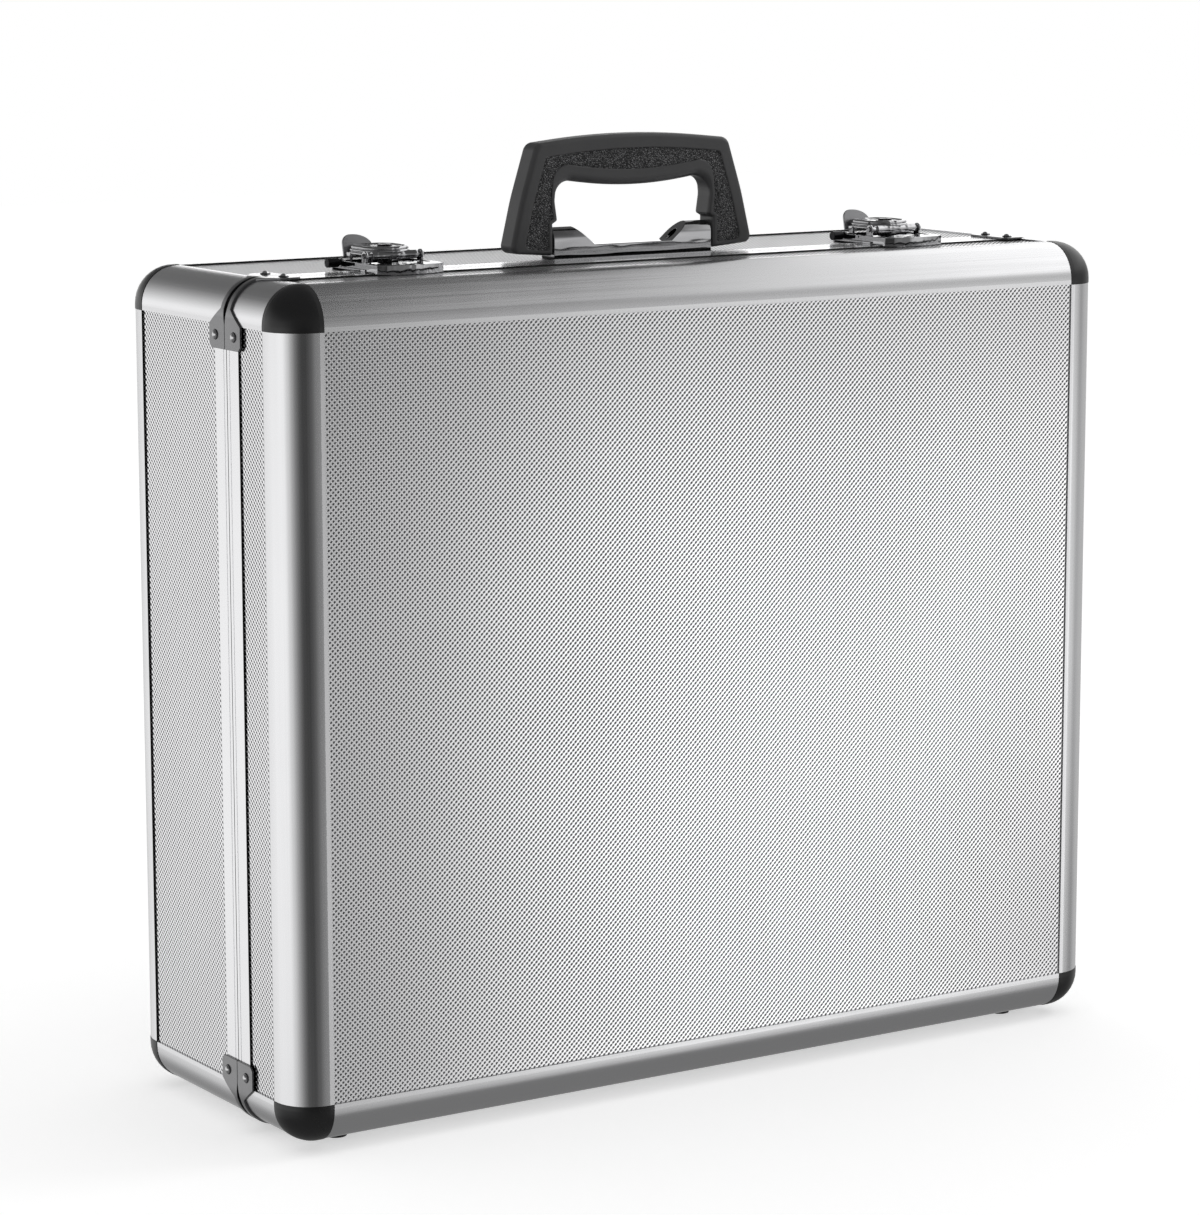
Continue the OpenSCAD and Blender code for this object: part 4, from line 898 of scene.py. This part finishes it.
def skin(form, rows, joined=False, capped=False):
    """Faces between neighbouring loops; the last may join the first, or both may be capped."""
    pairs = list(zip(rows, rows[1:])) + ([(rows[-1], rows[0])] if joined else [])
    for lower, upper in pairs:
        for i in range(len(lower)):
            j = (i + 1) % len(lower)
            form.faces.new((lower[i], lower[j], upper[j], upper[i]))
    if capped:
        form.faces.new(rows[0][::-1])
        form.faces.new(rows[-1])


def pad_loop(inset, z):
    """Outline of the cover, moved inwards, at one height."""
    half_wide, half_long = COVER_WIDE / 2 - inset, COVER_LONG / 2 - inset
    radius = max(COVER_CORNER - inset, COVER_TIGHTEST)
    middle = COVER_FRONT + COVER_LONG / 2
    loop = []
    for quarter, (sx, sy) in enumerate(((1, 1), (-1, 1), (-1, -1), (1, -1))):
        corner = (sx * (half_wide - radius), middle + sy * (half_long - radius))
        loop += [(x, y, z) for x, y in arc(corner, radius, radius, quarter, 1, 8)]
    return loop


def lever_mesh(name):
    """Pressed cover with its rolled front edge, boss, lugs and finger tab."""
    form = bmesh.new()

    def rows_of(loops):
        return [[form.verts.new(spot) for spot in loop] for loop in loops]

    cover = rows_of([pad_loop(*step) for step in COVER_SECTION])
    above, below = [at for at, step in enumerate(COVER_SECTION) if step[0] == DISH]
    skin(form, cover[:above + 1])
    skin(form, cover[below:] + [cover[0]])
    form.faces.new(cover[above])
    form.faces.new(cover[below][::-1])
    roll = [[(x, y, z) for y, z in arc(PIVOT, radius, radius, 0, 4, 32)[:-1]]
            for x, radius in ROLL_SECTION]
    skin(form, rows_of(roll), capped=True)
    boss = [[(x, y, z) for x, y in arc((0, LOCK_Y), radius, radius, 0, 4, 40)[:-1]]
            for radius, z in BOSS_SECTION]
    skin(form, rows_of(boss), joined=True)
    lug = arc(ROD, LUG_ROUND, LUG_ROUND, 2, 2, 12)
    lug += [(ROD[0] + LUG_ROUND, LUG_TOP), (ROD[0] - LUG_ROUND, LUG_TOP)]
    for side in (-1, 1):
        skin(form, rows_of([[(side * x, y, z) for y, z in lug] for x in LUG_FACES]), capped=True)

    tab_start = len(form.faces)
    leaf = [(-TAB_HALF, 0), (TAB_HALF, 0), (TAB_HALF, TAB_SHOULDER)]
    leaf += arc(TAB_ROUND_AT, TAB_HALF - TAB_ROUND_AT[0], TAB_LONG - TAB_ROUND_AT[1], 0, 1, 14)
    leaf += arc((TAB_CORNER - TAB_HALF, TAB_LONG - TAB_CORNER), TAB_CORNER, TAB_CORNER, 1, 1, 7)
    loops = []
    for thick, inset in ((0, TAB_EASE), (TAB_EASE, 0), (SHEET - TAB_EASE, 0), (SHEET, TAB_EASE)):
        loop = []
        for spot in (Vector(corner) for corner in leaf):
            spot += (TAB_CENTRE - spot).normalized() * inset
            loop.append((TAB_MIDDLE + spot.x,
                         COVER_FRONT + COVER_LONG - TAB_TUCK + thick * math.cos(TAB_LEAN)
                         + spot.y * math.sin(TAB_LEAN),
                         PIVOT[1] - TAB_DROP - thick * math.sin(TAB_LEAN)
                         + spot.y * math.cos(TAB_LEAN)))
        loops.append(loop)
    skin(form, rows_of(loops), capped=True)
    form.faces.ensure_lookup_table()
    for face in form.faces[tab_start:]:
        face.material_index = 1

    bmesh.ops.remove_doubles(form, verts=form.verts, dist=WELD / MM)
    bmesh.ops.recalc_face_normals(form, faces=form.faces)
    mesh = bpy.data.meshes.new(name)
    form.to_mesh(mesh)
    form.free()
    mesh.shade_smooth()
    mesh.set_sharp_from_angle(angle=CREASE_ANGLE)
    return mesh


def bow_hook(middle_x, front_y):
    """Bow the front wall of a hook plate, which the press leaves proud in its middle."""
    def bow(form):
        for k in range(-BOW_STEPS, BOW_STEPS + 1):
            bmesh.ops.bisect_plane(form, geom=[*form.verts, *form.edges, *form.faces],
                                   plane_co=(middle_x + k * BOW_STEP * MM, 0, 0),
                                   plane_no=(1, 0, 0))
        for vert in form.verts:
            across = (vert.co.x - middle_x) / (BOW_HALF * MM)
            if abs(across) < BOW_REACH and vert.co.y < front_y + HOOK_WALL * MM:
                vert.co.y += HOOK_BOW * across ** 2 * MM
    return bow


dress(chrome, "latch_pins")
black_steel = worked_metal("black_steel", (0.035, 0.035, 0.037), 0.22)
tab_steel = worked_metal("tab_steel", (0.40, 0.40, 0.41), 0.30, brush="X")
for side, sign in (("left", -1), ("right", 1)):
    hook_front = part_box(f"latch_{side}_hook")[0][1]
    eased(f"latch_{side}_plate", chrome, 0.2 * MM)
    eased(f"latch_{side}_hook", chrome, 0.3 * MM, steps=3, least=35,
          shape=bow_hook(sign * LATCH_X * MM, hook_front))
    eased(f"latch_{side}_rod", black_steel, 0.2 * MM)
    eased(f"latch_{side}_lock", black_steel, 0.2 * MM)
    mesh = lever_mesh(f"latch_{side}_lever_pressing")
    mesh.transform(Matrix.Translation((sign * LATCH_X * MM, split_y, case_top * MM))
                   @ Matrix.Scale(MM, 4))
    for material in (chrome, tab_steel):
        mesh.materials.append(material)
    lever = bpy.data.objects.new(f"latch_{side}_lever_pressing", mesh)
    bpy.context.collection.objects.link(lever)
    lever.modifiers.new("even_faces", "WEIGHTED_NORMAL").keep_sharp = True
    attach(lever, f"lever_{side}")
    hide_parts(f"latch_{side}_lever")
